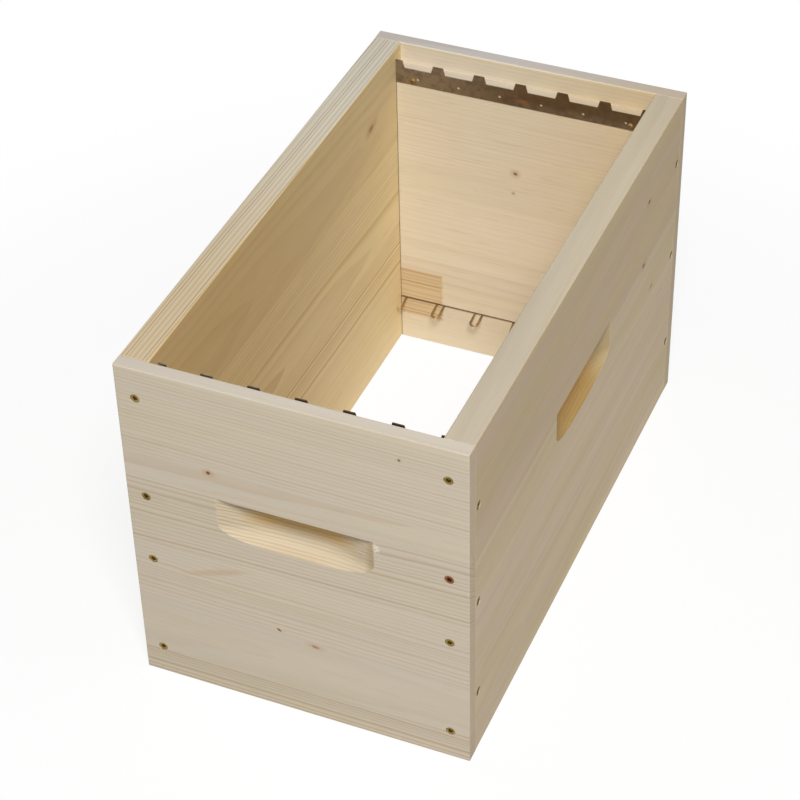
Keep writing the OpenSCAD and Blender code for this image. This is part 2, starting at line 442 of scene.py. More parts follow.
class Graph:
    """Short ways to place and join the nodes of one shader tree."""

    def __init__(self, tree: Tree) -> None:
        """Keep the tree that nodes are placed in."""
        self.tree = tree

    def add(self, kind: str, **settings: Any) -> Node:
        """Place a node and set its fields."""
        node = self.tree.nodes.new(kind)
        for name, value in settings.items():
            setattr(node, name, value)
        return node

    def feed(self, socket: Socket, value: Any) -> None:
        """Link another socket to this one, or set its value."""
        if isinstance(value, Socket):
            self.tree.links.new(value, socket)
        else:
            socket.default_value = value

    def math(self, operation: str, *values: Any, clamp: bool = False) -> Socket:
        """Result of a Math node on sockets or numbers."""
        node = self.add("ShaderNodeMath", operation=operation, use_clamp=clamp)
        for socket, value in zip(node.inputs, values):
            self.feed(socket, value)
        return node.outputs[0]

    def vector(self, operation: str, *values: Any) -> Socket:
        """Vector that a Vector Math node gives for sockets or vectors."""
        node = self.add("ShaderNodeVectorMath", operation=operation)
        for socket, value in zip(node.inputs, values):
            self.feed(socket, value)
        return node.outputs["Vector"]

    def parts(self, vector: Any) -> Sequence[Socket]:
        """The three parts of a vector."""
        node = self.add("ShaderNodeSeparateXYZ")
        self.feed(node.inputs[0], vector)
        return node.outputs

    def combine(self, *values: Any) -> Socket:
        """A vector from three parts."""
        node = self.add("ShaderNodeCombineXYZ")
        for socket, value in zip(node.inputs, values):
            self.feed(socket, value)
        return node.outputs[0]

    def mix(self, share: Any, first: Any, second: Any, blend: str = "MIX") -> Socket:
        """Blend of two colours.

        Args:
            share: Share of the second colour.
            first: First colour.
            second: Second colour.
            blend: Blend type.

        Returns:
            Socket of the blended colour.
        """
        node = self.add("ShaderNodeMix", data_type="RGBA", blend_type=blend)
        self.feed(node.inputs[0], share)
        self.feed(node.inputs[6], first)
        self.feed(node.inputs[7], second)
        return node.outputs[2]

    def span(self, value: Any, low: float, high: float, to: Pair = (0, 1)) -> Socket:
        """Smooth step of a value between two bounds.

        Args:
            value: Value to map.
            low: Value that gives the first result.
            high: Value that gives the second result.
            to: The two results.

        Returns:
            Socket of the mapped value.
        """
        node = self.add("ShaderNodeMapRange", interpolation_type="SMOOTHSTEP")
        for socket, item in zip(node.inputs, (value, low, high, *to)):
            self.feed(socket, item)
        return node.outputs[0]

    def noise(self, vector: Any, stretch: Any, detail: float = 2, rough: float = 0.5) -> Socket:
        """Noise on a vector that is stretched first.

        Args:
            vector: Place in metres.
            stretch: Waves per metre along each axis.
            detail: Octaves of the noise.
            rough: Share of each finer octave.

        Returns:
            Socket of the noise, from 0 to 1.
        """
        node = self.add("ShaderNodeTexNoise")
        self.feed(node.inputs["Vector"], self.vector("MULTIPLY", vector, stretch))
        node.inputs["Scale"].default_value = 1
        node.inputs["Detail"].default_value = detail
        node.inputs["Roughness"].default_value = rough
        return node.outputs["Fac"]

    def lift(self, noise: Any, by: Any) -> Socket:
        """A noise of 0 to 1 as a swing to both sides of nought."""
        return self.math("MULTIPLY", self.math("SUBTRACT", noise, 0.5), by)

    def overlap(self, *masks: Any) -> Socket:
        """Product of two or more masks."""
        made, *others = masks
        for mask in others:
            made = self.math("MULTIPLY", made, mask)
        return made

    def hypot(self, first: Any, second: Any) -> Socket:
        """Length of a line from its two parts at right angles."""
        squares = [self.math("MULTIPLY", part, part) for part in (first, second)]
        return self.math("SQRT", self.math("ADD", *squares))

    def bump(self, height: Any, strength: float, distance: float) -> Socket:
        """Normal of a surface with a relief.

        Args:
            height: Height of the relief, from 0 to 1.
            strength: Share of the relief that shows.
            distance: Depth of the relief in metres.

        Returns:
            Socket of the normal.
        """
        node = self.add("ShaderNodeBump")
        node.inputs["Strength"].default_value = strength
        node.inputs["Distance"].default_value = distance
        self.feed(node.inputs["Height"], height)
        return node.outputs[0]

    def group(self, tree: Tree, **values: Any) -> Node:
        """Place a node group and feed its inputs, named with underscores for spaces."""
        node = self.add("ShaderNodeGroup", node_tree=tree)
        for name, value in values.items():
            self.feed(node.inputs[name.replace("_", " ")], value)
        return node


def start_material(name: str) -> tuple[Material, Graph, Node]:
    """Start a material with nodes.

    Args:
        name: Name of the material.

    Returns:
        The material, the tools for its tree and its Principled shader.
    """
    made = bpy.data.materials.new(name)
    made.use_nodes = True
    return made, Graph(made.node_tree), made.node_tree.nodes["Principled BSDF"]


class GroupKit(Graph):
    """A shader node group while it is being made."""

    def __init__(self, name: str, takes: dict[str, str], gives: Sequence[str]) -> None:
        """Start a group with its sockets.

        Args:
            name: Name of the group.
            takes: Input names with their socket types, Float or Vector.
            gives: Names of the outputs, all of them values.
        """
        super().__init__(bpy.data.node_groups.new(name, "ShaderNodeTree"))
        for title, kind in takes.items():
            self.tree.interface.new_socket(title, in_out="INPUT", socket_type=f"NodeSocket{kind}")
        for title in gives:
            self.tree.interface.new_socket(title, in_out="OUTPUT", socket_type="NodeSocketFloat")
        self.inlet = self.add("NodeGroupInput").outputs
        self.outlet = self.add("NodeGroupOutput").inputs

    def give(self, name: str, value: Any) -> None:
        """Feed one output of the group."""
        self.feed(self.outlet[name], value)


class GrainGroups:
    """Shared effects of the wood and metal finishes, each a node group that is built once.

    Waves are counts per metre along and across the grain. A span is the pair of values between which
    a mask comes in or goes out.
    """

    SLOW_WAVES = (2.6, 9, 9)
    QUICK_WAVES = (14, 70, 70)
    QUICK_SHARE = 0.16
    YEAR_WAVES = (0.31, 1, 1)
    YEAR_SWING = 2.6
    LATE_RISE = (0.30, 0.92)
    LATE_FALL = (0.945, 1.0)
    VIGOUR = (0.35, 1.0)
    FINE_WAVES = (18, 900, 900)
    BROAD_WAVES = (2.4, 38, 38)
    DUCT_WAVES = (34, 620, 620)
    DUCT_SPAN = (0.70, 0.80)
    KNOT_WAVES = (700, 700, 700)
    KNOT_RAGGED = 0.7
    CORE_SPAN = (0.55, 1.15)
    HALO_SPAN = (0.7, 3.4)
    SWELL_FALL = -0.10
    SWELL_SHARE = 1.1
    BLOTCH_WAVES = (130, 130, 130)
    BLOTCH_SPAN = (0.42, 0.66)
    ROLL_WAVES = 3000
    SPECK_WAVES = (900, 900, 900)
    SPECK_SPAN = (0.62, 0.74)

    def __init__(self) -> None:
        """Build the groups."""
        self.rings = self.make_rings()
        self.fibres = self.make_fibres()
        self.knot = self.make_knot()
        self.tarnish = self.make_tarnish()

    def make_rings(self) -> Tree:
        """Growth rings about a pith that runs along the grain."""
        kit = GroupKit(
            "growth_rings",
            {"Grain": "Vector", "Pith": "Vector", "Ring Width": "Float", "Waver": "Float",
             "Taper": "Float", "Bulge": "Float"},
            ("Late", "Season"),
        )
        along, deep, high = kit.parts(kit.inlet["Grain"])
        _, pith_deep, pith_high = kit.parts(kit.inlet["Pith"])
        radius = kit.hypot(kit.math("SUBTRACT", deep, pith_deep), kit.math("SUBTRACT", high, pith_high))
        moved = kit.vector("ADD", kit.inlet["Grain"], kit.inlet["Pith"])
        slow = kit.lift(kit.noise(moved, self.SLOW_WAVES), kit.inlet["Waver"])
        ripple = kit.math("MULTIPLY", kit.inlet["Waver"], self.QUICK_SHARE)
        quick = kit.lift(kit.noise(moved, self.QUICK_WAVES), ripple)
        lean = kit.math("MULTIPLY", along, kit.inlet["Taper"])
        sway = kit.math("ADD", slow, quick)
        swell = kit.math("ADD", lean, kit.inlet["Bulge"])
        radius = kit.math("ADD", radius, kit.math("ADD", sway, swell))
        count = kit.math("DIVIDE", radius, kit.inlet["Ring Width"])
        uneven = kit.noise(kit.combine(count, 0, 0), self.YEAR_WAVES, detail=1)
        count = kit.math("ADD", count, kit.lift(uneven, self.YEAR_SWING))
        share = kit.math("FRACT", count)
        year = kit.add("ShaderNodeTexWhiteNoise", noise_dimensions="1D")
        kit.feed(year.inputs["W"], kit.math("FLOOR", count))
        rise = kit.span(share, *self.LATE_RISE)
        fall = kit.span(share, *self.LATE_FALL, (1, 0))
        vigour = kit.span(year.outputs["Value"], 0.0, 1.0, self.VIGOUR)
        kit.give("Late", kit.overlap(rise, fall, vigour))
        kit.give("Season", year.outputs["Value"])
        return kit.tree

    def make_fibres(self) -> Tree:
        """Fine fibres, broad streaks and short resin ducts along the grain."""
        kit = GroupKit("wood_fibres", {"Grain": "Vector"}, ("Fine", "Broad", "Ducts"))
        grain = kit.inlet["Grain"]
        kit.give("Fine", kit.noise(grain, self.FINE_WAVES, rough=0.6))
        kit.give("Broad", kit.noise(grain, self.BROAD_WAVES, detail=3, rough=0.55))
        ducts = kit.noise(grain, self.DUCT_WAVES, detail=0)
        kit.give("Ducts", kit.span(ducts, *self.DUCT_SPAN))
        return kit.tree

    def make_knot(self) -> Tree:
        """One knot that runs through the board, with the rings bent round it."""
        kit = GroupKit(
            "small_knot",
            {"Grain": "Vector", "Centre": "Vector", "Size": "Float", "Stretch": "Float",
             "Slant": "Float"},
            ("Core", "Halo", "Bulge"),
        )
        shift = kit.vector("SUBTRACT", kit.inlet["Grain"], kit.inlet["Centre"])
        along, _, high = kit.parts(shift)
        high = kit.math("SUBTRACT", high, kit.math("MULTIPLY", along, kit.inlet["Slant"]))
        along = kit.math("DIVIDE", along, kit.inlet["Stretch"])
        away = kit.math("DIVIDE", kit.hypot(along, high), kit.inlet["Size"])
        uneven = kit.noise(kit.inlet["Grain"], self.KNOT_WAVES)
        ragged = kit.math("ADD", away, kit.lift(uneven, self.KNOT_RAGGED))
        kit.give("Core", kit.span(ragged, *self.CORE_SPAN, (1, 0)))
        kit.give("Halo", kit.span(ragged, *self.HALO_SPAN, (1, 0)))
        fall = kit.math("MULTIPLY", kit.math("MULTIPLY", away, away), self.SWELL_FALL)
        swell = kit.math("MULTIPLY", kit.inlet["Size"], self.SWELL_SHARE)
        kit.give("Bulge", kit.math("MULTIPLY", kit.math("EXPONENT", fall), swell))
        return kit.tree

    def make_tarnish(self) -> Tree:
        """Blotches, rolling marks and specks of handled sheet, wire and screws."""
        kit = GroupKit(
            "metal_tarnish",
            {"Place": "Vector", "Along": "Float"},
            ("Blotch", "Rolled", "Specks"),
        )
        place = kit.inlet["Place"]
        blotch = kit.noise(place, self.BLOTCH_WAVES, detail=4, rough=0.6)
        kit.give("Blotch", kit.span(blotch, *self.BLOTCH_SPAN))
        lengthwise = kit.combine(kit.inlet["Along"], self.ROLL_WAVES, self.ROLL_WAVES)
        kit.give("Rolled", kit.noise(place, lengthwise))
        specks = kit.noise(place, self.SPECK_WAVES, rough=0.6)
        kit.give("Specks", kit.span(specks, *self.SPECK_SPAN))
        return kit.tree


@dataclass(frozen=True)
class Stave:
    """One glued strip of a board: where it ends and how its rings lie.

    Its pith is given from the board's middle plane and from the underside, figure is the strength of its
    latewood lines and tone its brightness, with 0.5 as plain.
    """

    top: float
    pith_deep: float
    pith_high: float
    figure: float = 0.5
    tone: float = 0.5


@dataclass(frozen=True)
class Knot:
    """A small knot at a place along the board and above the underside."""

    along: float
    high: float
    size: float = 2 * MM
    stretch: float = 1.4
    slant: float = 0.0
    dark: float = 0.9
    stain: float = 0.42


@dataclass(frozen=True)
class Lamella:
    """A short block let into a stave from the inside, with stronger rings."""

    along_from: float
    along_to: float
    low: float
    high: float
    pith_deep: float
    pith_high: float
    figure: float = 1.0
    ring_width: float = 4.2 * MM
    early: Colour = paint(224, 198, 155)
    late: Colour = paint(188, 146, 92)


@dataclass(frozen=True)
class Site:
    """Place on a board while its material is made, with the tree, the shared effects and the sizes.

    The grain is the place in the board's own frame; along, deep and high are its parts, from the board's
    middle and from its underside, and depth is counted from the outer face.
    """

    g: Graph
    groups: GrainGroups
    hand: "HandCut"
    sizes: BodySizes
    grain: Socket
    along: Socket
    deep: Socket
    high: Socket
    depth: Socket


@dataclass(frozen=True)
class WoodFinish:
    """Planed spruce of one board, glued from staves, with its own tone on the narrow edges."""

    name: str
    heading: float
    middle: float
    outward: float
    staves: tuple[Stave, ...]
    knots: tuple[Knot, ...] = ()
    lamella: Lamella | None = None
    torn: Knot | None = None
    lapped: bool = False
    ring_width: float = 3.1 * MM
    streaks: float = 0.20
    mottle: float = 0.2
    waver: float = 7 * MM
    taper: float = 0.012
    early: Colour = paint(216, 203, 182)
    late: Colour = paint(194, 168, 132)
    edge: Colour = paint(204, 193, 174)
    edge_late: Colour = paint(184, 162, 132)
    edge_figure: float = 0.25
    knot_dark: Colour = paint(92, 62, 38)
    knot_halo: Colour = paint(190, 146, 96)
    fresh: Colour = paint(206, 191, 164)
    scraped: Colour = paint(178, 155, 119)
    # Painted shade under the handhold's upper edge: its deep upper part is multiplied browner; values
    # above one paint light there instead.
    cut_under_shading: Colour = (1.0, 0.80, 0.46, 1.0)
    cut_under: Pair = (29 * MM, 17 * MM)
    # Painted shade at the handhold's end where the cutter left, for the shadow of its end wall; values
    # above one paint light there instead.
    cut_end_shading: Colour = (0.86, 0.79, 0.67, 1.0)
    cut_end_span: Pair = (10 * MM, 2 * MM)
    end_grain: Colour = paint(196, 178, 150)
    # Painted shade in the corner joints where an end board's wall meets the side boards.
    gap_shade: Colour = paint(74, 52, 32)
    # Painted shade inside the wire's kerf: darker, browner wood.
    kerf_shade: Colour = paint(150, 108, 48)
    frayed: Colour = paint(232, 223, 204)
    # Painted light and shade along the board: a multiply that goes from the first value to the second
    # over the span, darker towards one end where less light falls.
    painted_light_from: Colour = (1.0, 1.0, 1.0, 1.0)
    painted_light_to: Colour = (1.0, 1.0, 1.0, 1.0)
    painted_light_span: Pair = (-200 * MM, 200 * MM)

    WARMTH = 0.5
    WARM_TONES = (0.3, 0.5)
    MOTTLE_COOL = (1.02, 0.995, 1.06, 1.0)
    MOTTLE_WARM = (0.96, 0.965, 0.82, 1.0)
    CLOUD_SHIFT = (0.7, 0.3, 0.9)
    CLOUD_WAVES = (3.2, 34, 34)
    CLOUD_SPAN = (0.36, 0.64)
    FINE_TINT = 0.13
    TONE_TINT = 0.30
    SEASON_TINT = 0.025
    DUCT_TINT = 0.14
    FACING = (0.72, 0.94)
    EDGE_BAND = 2 * MM
    END_SHARE = 0.95
    # Painted shade on the shelf and other faces that look up or down, away from the top and bottom
    # edges.
    LEDGE_SHADE = (0.76, 0.78, 0.84, 1.0)
    DEEP_SPAN = 0.6
    HIGH_SPAN = 1.2
    BLOCK_WAVES = (1, 1, 260)
    BLOCK_RAGGED = 9 * MM
    BLOCK_FADE = (-2 * MM, MM)
    CUT_SLANT = 0.85
    CUT_LINE = 3.5 * MM
    CUT_SWAY = 7.0
    SWAY_WAVES = (6, 40, 90)
    BROKEN_WAVES = (9, 1, 210)
    BROKEN_SPAN = (0.34, 0.60)
    BROKEN_SHARE = (0.35, 1.0)
    LINE_SPAN = (-0.1, 0.95)
    CUT_LINED = (0.78, 0.5)
    CUT_LATE = 0.25
    CUT_DEEP = (5 * MM, 12 * MM)
    CUT_RIM = (0.04 * MM, 0.3 * MM)
    TORN_WAVES = (500, 500, 800)
    TORN_SPAN = (0.42, 0.56)
    TORN_DEPTH = 2 * MM
    KERF_REACH = 1.15 * MM
    KERF_DEEP = 9.2 * MM
    KERF_HALF = 2.6 * MM
    KERF_DARK = 0.5
    GAP_DARK = 0.6
    ROUGH = 0.66
    ROUGH_SWING = 0.24
    LATE_GLOSS = 0.10
    SPECULAR = 0.3
    LATE_RELIEF = 0.5
    RELIEF = 0.45
    RELIEF_DEPTH = 0.25 * MM

    def material(self, groups: GrainGroups, hand: "HandCut", sizes: BodySizes) -> Material:
        """Build the board's material.

        Args:
            groups: Shared effects.
            hand: Handhold, whose cut wood is fresher.
            sizes: Sizes of the body.

        Returns:
            The finished material.
        """
        made, g, shader = start_material(self.name)
        spot = g.add("ShaderNodeTexCoord")
        turn = g.add("ShaderNodeMapping")
        g.feed(turn.inputs["Vector"], spot.outputs["Object"])
        turn.inputs["Rotation"].default_value = (0, 0, math.radians(self.heading))
        turn.inputs["Location"].default_value = (0, -self.middle, 0)
        grain = turn.outputs[0]
        along, deep, high = g.parts(grain)
        depth = g.math("SUBTRACT", sizes.board / 2, g.math("MULTIPLY", deep, self.outward))
        site = Site(g, groups, hand, sizes, grain, along, deep, high, depth)

        table = self.stave_table(site)
        core, halo, bulge = self.knot_masks(site)
        rings, late, colour = self.growth(site, table, bulge)
        fibres = g.group(groups.fibres, Grain=grain)
        ends, edges = self.narrow_masks(g, turn, spot)
        colour = self.faced(site, colour, rings, edges)
        colour = self.tinted(site, colour, (fibres, table, rings))
        colour = g.mix(self.cut_mask(site), colour, self.cut_colour(site, late))
        if self.torn:
            colour = g.mix(self.torn_mask(site), colour, self.frayed)
        end_grain = g.mix(late, self.end_grain, self.late)
        colour = g.mix(g.math("MULTIPLY", ends, self.END_SHARE), colour, end_grain)
        colour = g.mix(halo, colour, self.knot_halo)
        colour = g.mix(core, colour, self.knot_dark)
        # Painted shade inside the kerf.
        kerf = g.math("MULTIPLY", self.kerf_mask(site), self.KERF_DARK)
        colour = g.mix(kerf, colour, self.kerf_shade)
        if self.lapped:
            # Painted shade in the corner joints.
            gap = g.math("MULTIPLY", self.gap_mask(site), self.GAP_DARK)
            colour = g.mix(gap, colour, self.gap_shade)
        g.feed(shader.inputs["Base Color"], colour)

        fine = fibres.outputs["Fine"]
        rough = g.math("ADD", g.lift(fine, self.ROUGH_SWING), self.ROUGH)
        rough = g.math("SUBTRACT", rough, g.math("MULTIPLY", late, self.LATE_GLOSS))
        g.feed(shader.inputs["Roughness"], rough)
        shader.inputs["Specular IOR Level"].default_value = self.SPECULAR
        raised = g.math("ADD", g.math("MULTIPLY", late, self.LATE_RELIEF), fine)
        g.feed(shader.inputs["Normal"], g.bump(raised, self.RELIEF, self.RELIEF_DEPTH))
        return made

    def stave_table(self, site: Site) -> Node:
        """Steps of a ramp over the height that hold each stave's pith, figure and tone."""
        node = site.g.add("ShaderNodeValToRGB")
        site.g.feed(node.inputs[0], site.g.math("DIVIDE", site.high, site.sizes.height))
        ramp = node.color_ramp
        ramp.interpolation = "CONSTANT"
        starts = (0.0, *(stave.top for stave in self.staves[:-1]))
        while len(ramp.elements) < len(self.staves):
            ramp.elements.new(1.0)
        for place, stave, step in zip(starts, self.staves, ramp.elements):
            step.position = place
            step.color = (
                0.5 + stave.pith_deep / self.DEEP_SPAN,
                0.5 + stave.pith_high / self.HIGH_SPAN,
                stave.figure,
                stave.tone,
            )
        return node

    def growth(self, site: Site, table: Node, bulge: Any) -> tuple[Node, Socket, Socket]:
        """Growth rings of the staves, and of the block where there is one.

        Args:
            site: Place on the board.
            table: Ramp of the staves.
            bulge: Swell of the rings round the knots.

        Returns:
            The rings' node, the latewood lines and the colour of the wood.
        """
        g = site.g
        red, green, figure = g.parts(table.outputs["Color"])
        pith_deep = g.lift(red, self.DEEP_SPAN)
        pith_high = g.lift(green, self.HIGH_SPAN)
        ring_width: Any = self.ring_width
        early: Any = self.early
        dark: Any = self.late
        if self.lamella:
            block = self.lamella_mask(site)
            pith_deep = self.swap(g, block, pith_deep, self.lamella.pith_deep)
            pith_high = self.swap(g, block, pith_high, self.lamella.pith_high)
            figure = self.swap(g, block, figure, self.lamella.figure)
            ring_width = self.swap(g, block, ring_width, self.lamella.ring_width)
            early = g.mix(block, early, self.lamella.early)
            dark = g.mix(block, dark, self.lamella.late)
        rings = g.group(
            site.groups.rings, Grain=site.grain, Pith=g.combine(0, pith_deep, pith_high),
            Ring_Width=ring_width, Waver=self.waver, Taper=self.taper, Bulge=bulge,
        )
        late = g.math("MULTIPLY", rings.outputs["Late"], figure)
        warm = g.span(table.outputs["Alpha"], *self.WARM_TONES, (self.WARMTH, 0.0))
        return rings, late, g.mix(warm, g.mix(late, early, dark), self.late)

    def faced(self, site: Site, colour: Any, rings: Node, edges: Any) -> Socket:
        """Colour with painted shade on the ledges, the board's own narrow edges, clouds and painted
        light and shade that change along it.

        Args:
            site: Place on the board.
            colour: Colour of the wood.
            rings: Node of the growth rings.
            edges: Mask of the faces that look up or down.

        Returns:
            Socket of the colour.
        """
        g = site.g
        half = site.sizes.height / 2
        outer = g.math("ABSOLUTE", g.math("SUBTRACT", site.high, half))
        outer = g.math("GREATER_THAN", outer, half - self.EDGE_BAND)
        # Painted shade on the ledges.
        ledge = g.math("MULTIPLY", edges, g.math("SUBTRACT", 1.0, outer))
        colour = g.mix(ledge, colour, self.LEDGE_SHADE, "MULTIPLY")
        edges = g.math("MULTIPLY", edges, outer)
        lines = g.math("MULTIPLY", rings.outputs["Late"], self.edge_figure)
        colour = g.mix(edges, colour, g.mix(lines, self.edge, self.edge_late))
        cloud = g.noise(g.vector("ADD", site.grain, self.CLOUD_SHIFT), self.CLOUD_WAVES)
        cloud = g.mix(g.span(cloud, *self.CLOUD_SPAN), self.MOTTLE_COOL, self.MOTTLE_WARM)
        clouded = g.math("MULTIPLY", g.math("SUBTRACT", 1.0, edges), self.mottle)
        colour = g.mix(clouded, colour, cloud, "MULTIPLY")
        # Painted light and shade that change along the board.
        painted_light = g.mix(g.span(site.along, *self.painted_light_span), self.painted_light_from, self.painted_light_to)
        return g.mix(1.0, colour, painted_light, "MULTIPLY")

    def tinted(self, site: Site, colour: Any, sources: tuple[Node, Node, Node]) -> Socket:
        """Colour with lighter and darker fibres, staves and years, and with resin ducts.

        Args:
            site: Place on the board.
            colour: Colour of the wood.
            sources: Nodes of the fibres, of the staves and of the rings.

        Returns:
            Socket of the colour.
        """
        g = site.g
        fibres, table, rings = (node.outputs for node in sources)
        tint: Any = 0.0
        for swing, by in (
            (fibres["Broad"], self.streaks),
            (fibres["Fine"], self.FINE_TINT),
            (table["Alpha"], self.TONE_TINT),
            (rings["Season"], self.SEASON_TINT),
        ):
            tint = g.math("ADD", tint, g.lift(swing, by))
        shade = g.add("ShaderNodeHueSaturation")
        g.feed(shade.inputs["Value"], g.math("ADD", tint, 1.0))
        g.feed(shade.inputs["Color"], colour)
        ducts = g.math("MULTIPLY", fibres["Ducts"], self.DUCT_TINT)
        return g.mix(ducts, shade.outputs[0], self.knot_halo)

    @staticmethod
    def swap(g: Graph, share: Any, first: Any, second: float) -> Socket:
        """A value that goes over to a second one as the share rises."""
        return g.math("ADD", g.math("MULTIPLY", g.math("SUBTRACT", 1.0, share), first),
                      g.math("MULTIPLY", share, second))

    def lamella_mask(self, site: Site) -> Socket:
        """Mask of the block, in the inner half of the board."""
        g = site.g
        block = self.lamella
        saw = g.noise(g.combine(0, 0, site.high), self.BLOCK_WAVES, detail=1)
        ragged = g.math("ADD", site.along, g.lift(saw, self.BLOCK_RAGGED))
        first, last = self.BLOCK_FADE
        return g.overlap(
            g.math("GREATER_THAN", site.along, block.along_from),
            g.math("LESS_THAN", g.math("MULTIPLY", site.deep, self.outward), 0.0),
            g.span(ragged, block.along_to + first, block.along_to + last, (1, 0)),
            g.math("GREATER_THAN", site.high, block.low),
            g.math("LESS_THAN", site.high, block.high),
        )

    @staticmethod
    def knot_node(site: Site, knot: Knot) -> Node:
        """The knot group, set for one knot."""
        return site.g.group(
            site.groups.knot, Grain=site.grain, Centre=(knot.along, 0, knot.high), Size=knot.size,
            Stretch=knot.stretch, Slant=knot.slant,
        )

    def knot_masks(self, site: Site) -> tuple[Any, Any, Any]:
        """Dark cores, stained halos and the swell of the rings of all the knots together."""
        g = site.g
        core: Any = 0.0
        halo: Any = 0.0
        bulge: Any = 0.0
        for knot in self.knots:
            node = self.knot_node(site, knot)
            core = g.math("MAXIMUM", core, g.math("MULTIPLY", node.outputs["Core"], knot.dark))
            halo = g.math("MAXIMUM", halo, g.math("MULTIPLY", node.outputs["Halo"], knot.stain))
            bulge = g.math("ADD", bulge, node.outputs["Bulge"])
        return core, halo, bulge

    def torn_mask(self, site: Site) -> Socket:
        """Mask of the torn fibres at the handhold's edge, near the outer face."""
        g = site.g
        return g.overlap(
            self.knot_node(site, self.torn).outputs["Core"],
            g.span(g.noise(site.grain, self.TORN_WAVES, detail=1), *self.TORN_SPAN),
            g.math("LESS_THAN", site.depth, self.TORN_DEPTH),
        )

    def cutter_lines(self, site: Site) -> Socket:
        """Fine lines along the handhold, one below the other, from 0 between them to 1."""
        g = site.g
        slant = g.math("ADD", site.high, g.math("MULTIPLY", site.depth, self.CUT_SLANT))
        sway = g.lift(g.noise(site.grain, self.SWAY_WAVES), self.CUT_SWAY)
        phase = g.math("ADD", g.math("MULTIPLY", slant, 2 * math.pi / self.CUT_LINE), sway)
        broken = g.noise(g.combine(site.along, 0, slant), self.BROKEN_WAVES)
        uneven = g.span(broken, *self.BROKEN_SPAN, self.BROKEN_SHARE)
        return g.math("MULTIPLY", g.span(g.math("SINE", phase), *self.LINE_SPAN), uneven)

    def cut_colour(self, site: Site, late: Any) -> Socket:
        """Cut wood: lined, with painted light and shade under the upper edge and at the end where the
        cutter left.
        """
        g = site.g
        hand = site.hand
        half = hand.width / 2
        strength = g.span(site.along, -half, -hand.width / 5, self.CUT_LINED)
        lines = g.math("MULTIPLY", self.cutter_lines(site), strength)
        colour = g.mix(lines, self.fresh, self.scraped)
        colour = g.mix(g.math("MULTIPLY", late, self.CUT_LATE), colour, self.late)
        # Painted shade: the deep part under the upper edge is multiplied browner, or lighter where the
        # values are above one.
        low, full = self.cut_under
        under = g.math("MULTIPLY", g.span(site.high, hand.top - low, hand.top - full),
                       g.span(site.depth, *self.CUT_DEEP))
        colour = g.mix(under, colour, self.cut_under_shading, "MULTIPLY")
        # Painted shade near the handhold's end, where its end wall's shadow falls.
        first, last = self.cut_end_span
        end_shading = g.span(site.along, half - first, half - last)
        return g.mix(end_shading, colour, self.cut_end_shading, "MULTIPLY")

    def cut_mask(self, site: Site) -> Socket:
        """Mask of the freshly cut wood inside the handhold."""
        g = site.g
        hand = site.hand
        return g.overlap(
            g.span(site.depth, *self.CUT_RIM),
            g.math("LESS_THAN", site.depth, hand.depth + MM),
            g.math("LESS_THAN", g.math("ABSOLUTE", site.along), hand.width / 2 + MM),
            g.math("GREATER_THAN", site.high, hand.top - hand.height - MM),
            g.math("LESS_THAN", site.high, hand.top + MM),
        )

    def kerf_mask(self, site: Site) -> Socket:
        """Mask of the painted shade inside the wire's kerf."""
        g = site.g
        inside = g.math("MULTIPLY", site.deep, -self.outward)
        mask = g.math("COMPARE", inside, self.KERF_DEEP, self.KERF_HALF)
        return g.math("MULTIPLY", mask, g.math("COMPARE", site.high, WIRE_Z, self.KERF_REACH))

    def gap_mask(self, site: Site) -> Socket:
        """Mask of the painted shade in the eased corners where an end board's wall meets the side
        boards.
        """
        g = site.g
        sizes = site.sizes
        inside = g.math("MULTIPLY", site.deep, -self.outward)
        near = g.math("GREATER_THAN", inside, sizes.board / 2 - sizes.corner_seam - NEAR)
        reach = sizes.chamber_width / 2 - sizes.corner_seam
        corner = g.math("GREATER_THAN", g.math("ABSOLUTE", site.along), reach)
        return g.math("MULTIPLY", near, corner)

    def narrow_masks(self, g: Graph, turn: Node, spot: Node) -> tuple[Any, Any]:
        """Masks of the faces that look along the board and of those that look up or down.

        Args:
            g: Tree of the material.
            turn: Mapping of the board, whose turn is repeated for the normal.
            spot: Texture coordinates.

        Returns:
            End grain and narrow edges.
        """
        facing = g.add("ShaderNodeMapping", vector_type="NORMAL")
        g.feed(facing.inputs["Vector"], spot.outputs["Normal"])
        facing.inputs["Rotation"].default_value = turn.inputs["Rotation"].default_value
        along, _, up = g.parts(facing.outputs[0])
        return tuple(g.span(g.math("ABSOLUTE", part), *self.FACING) for part in (along, up))


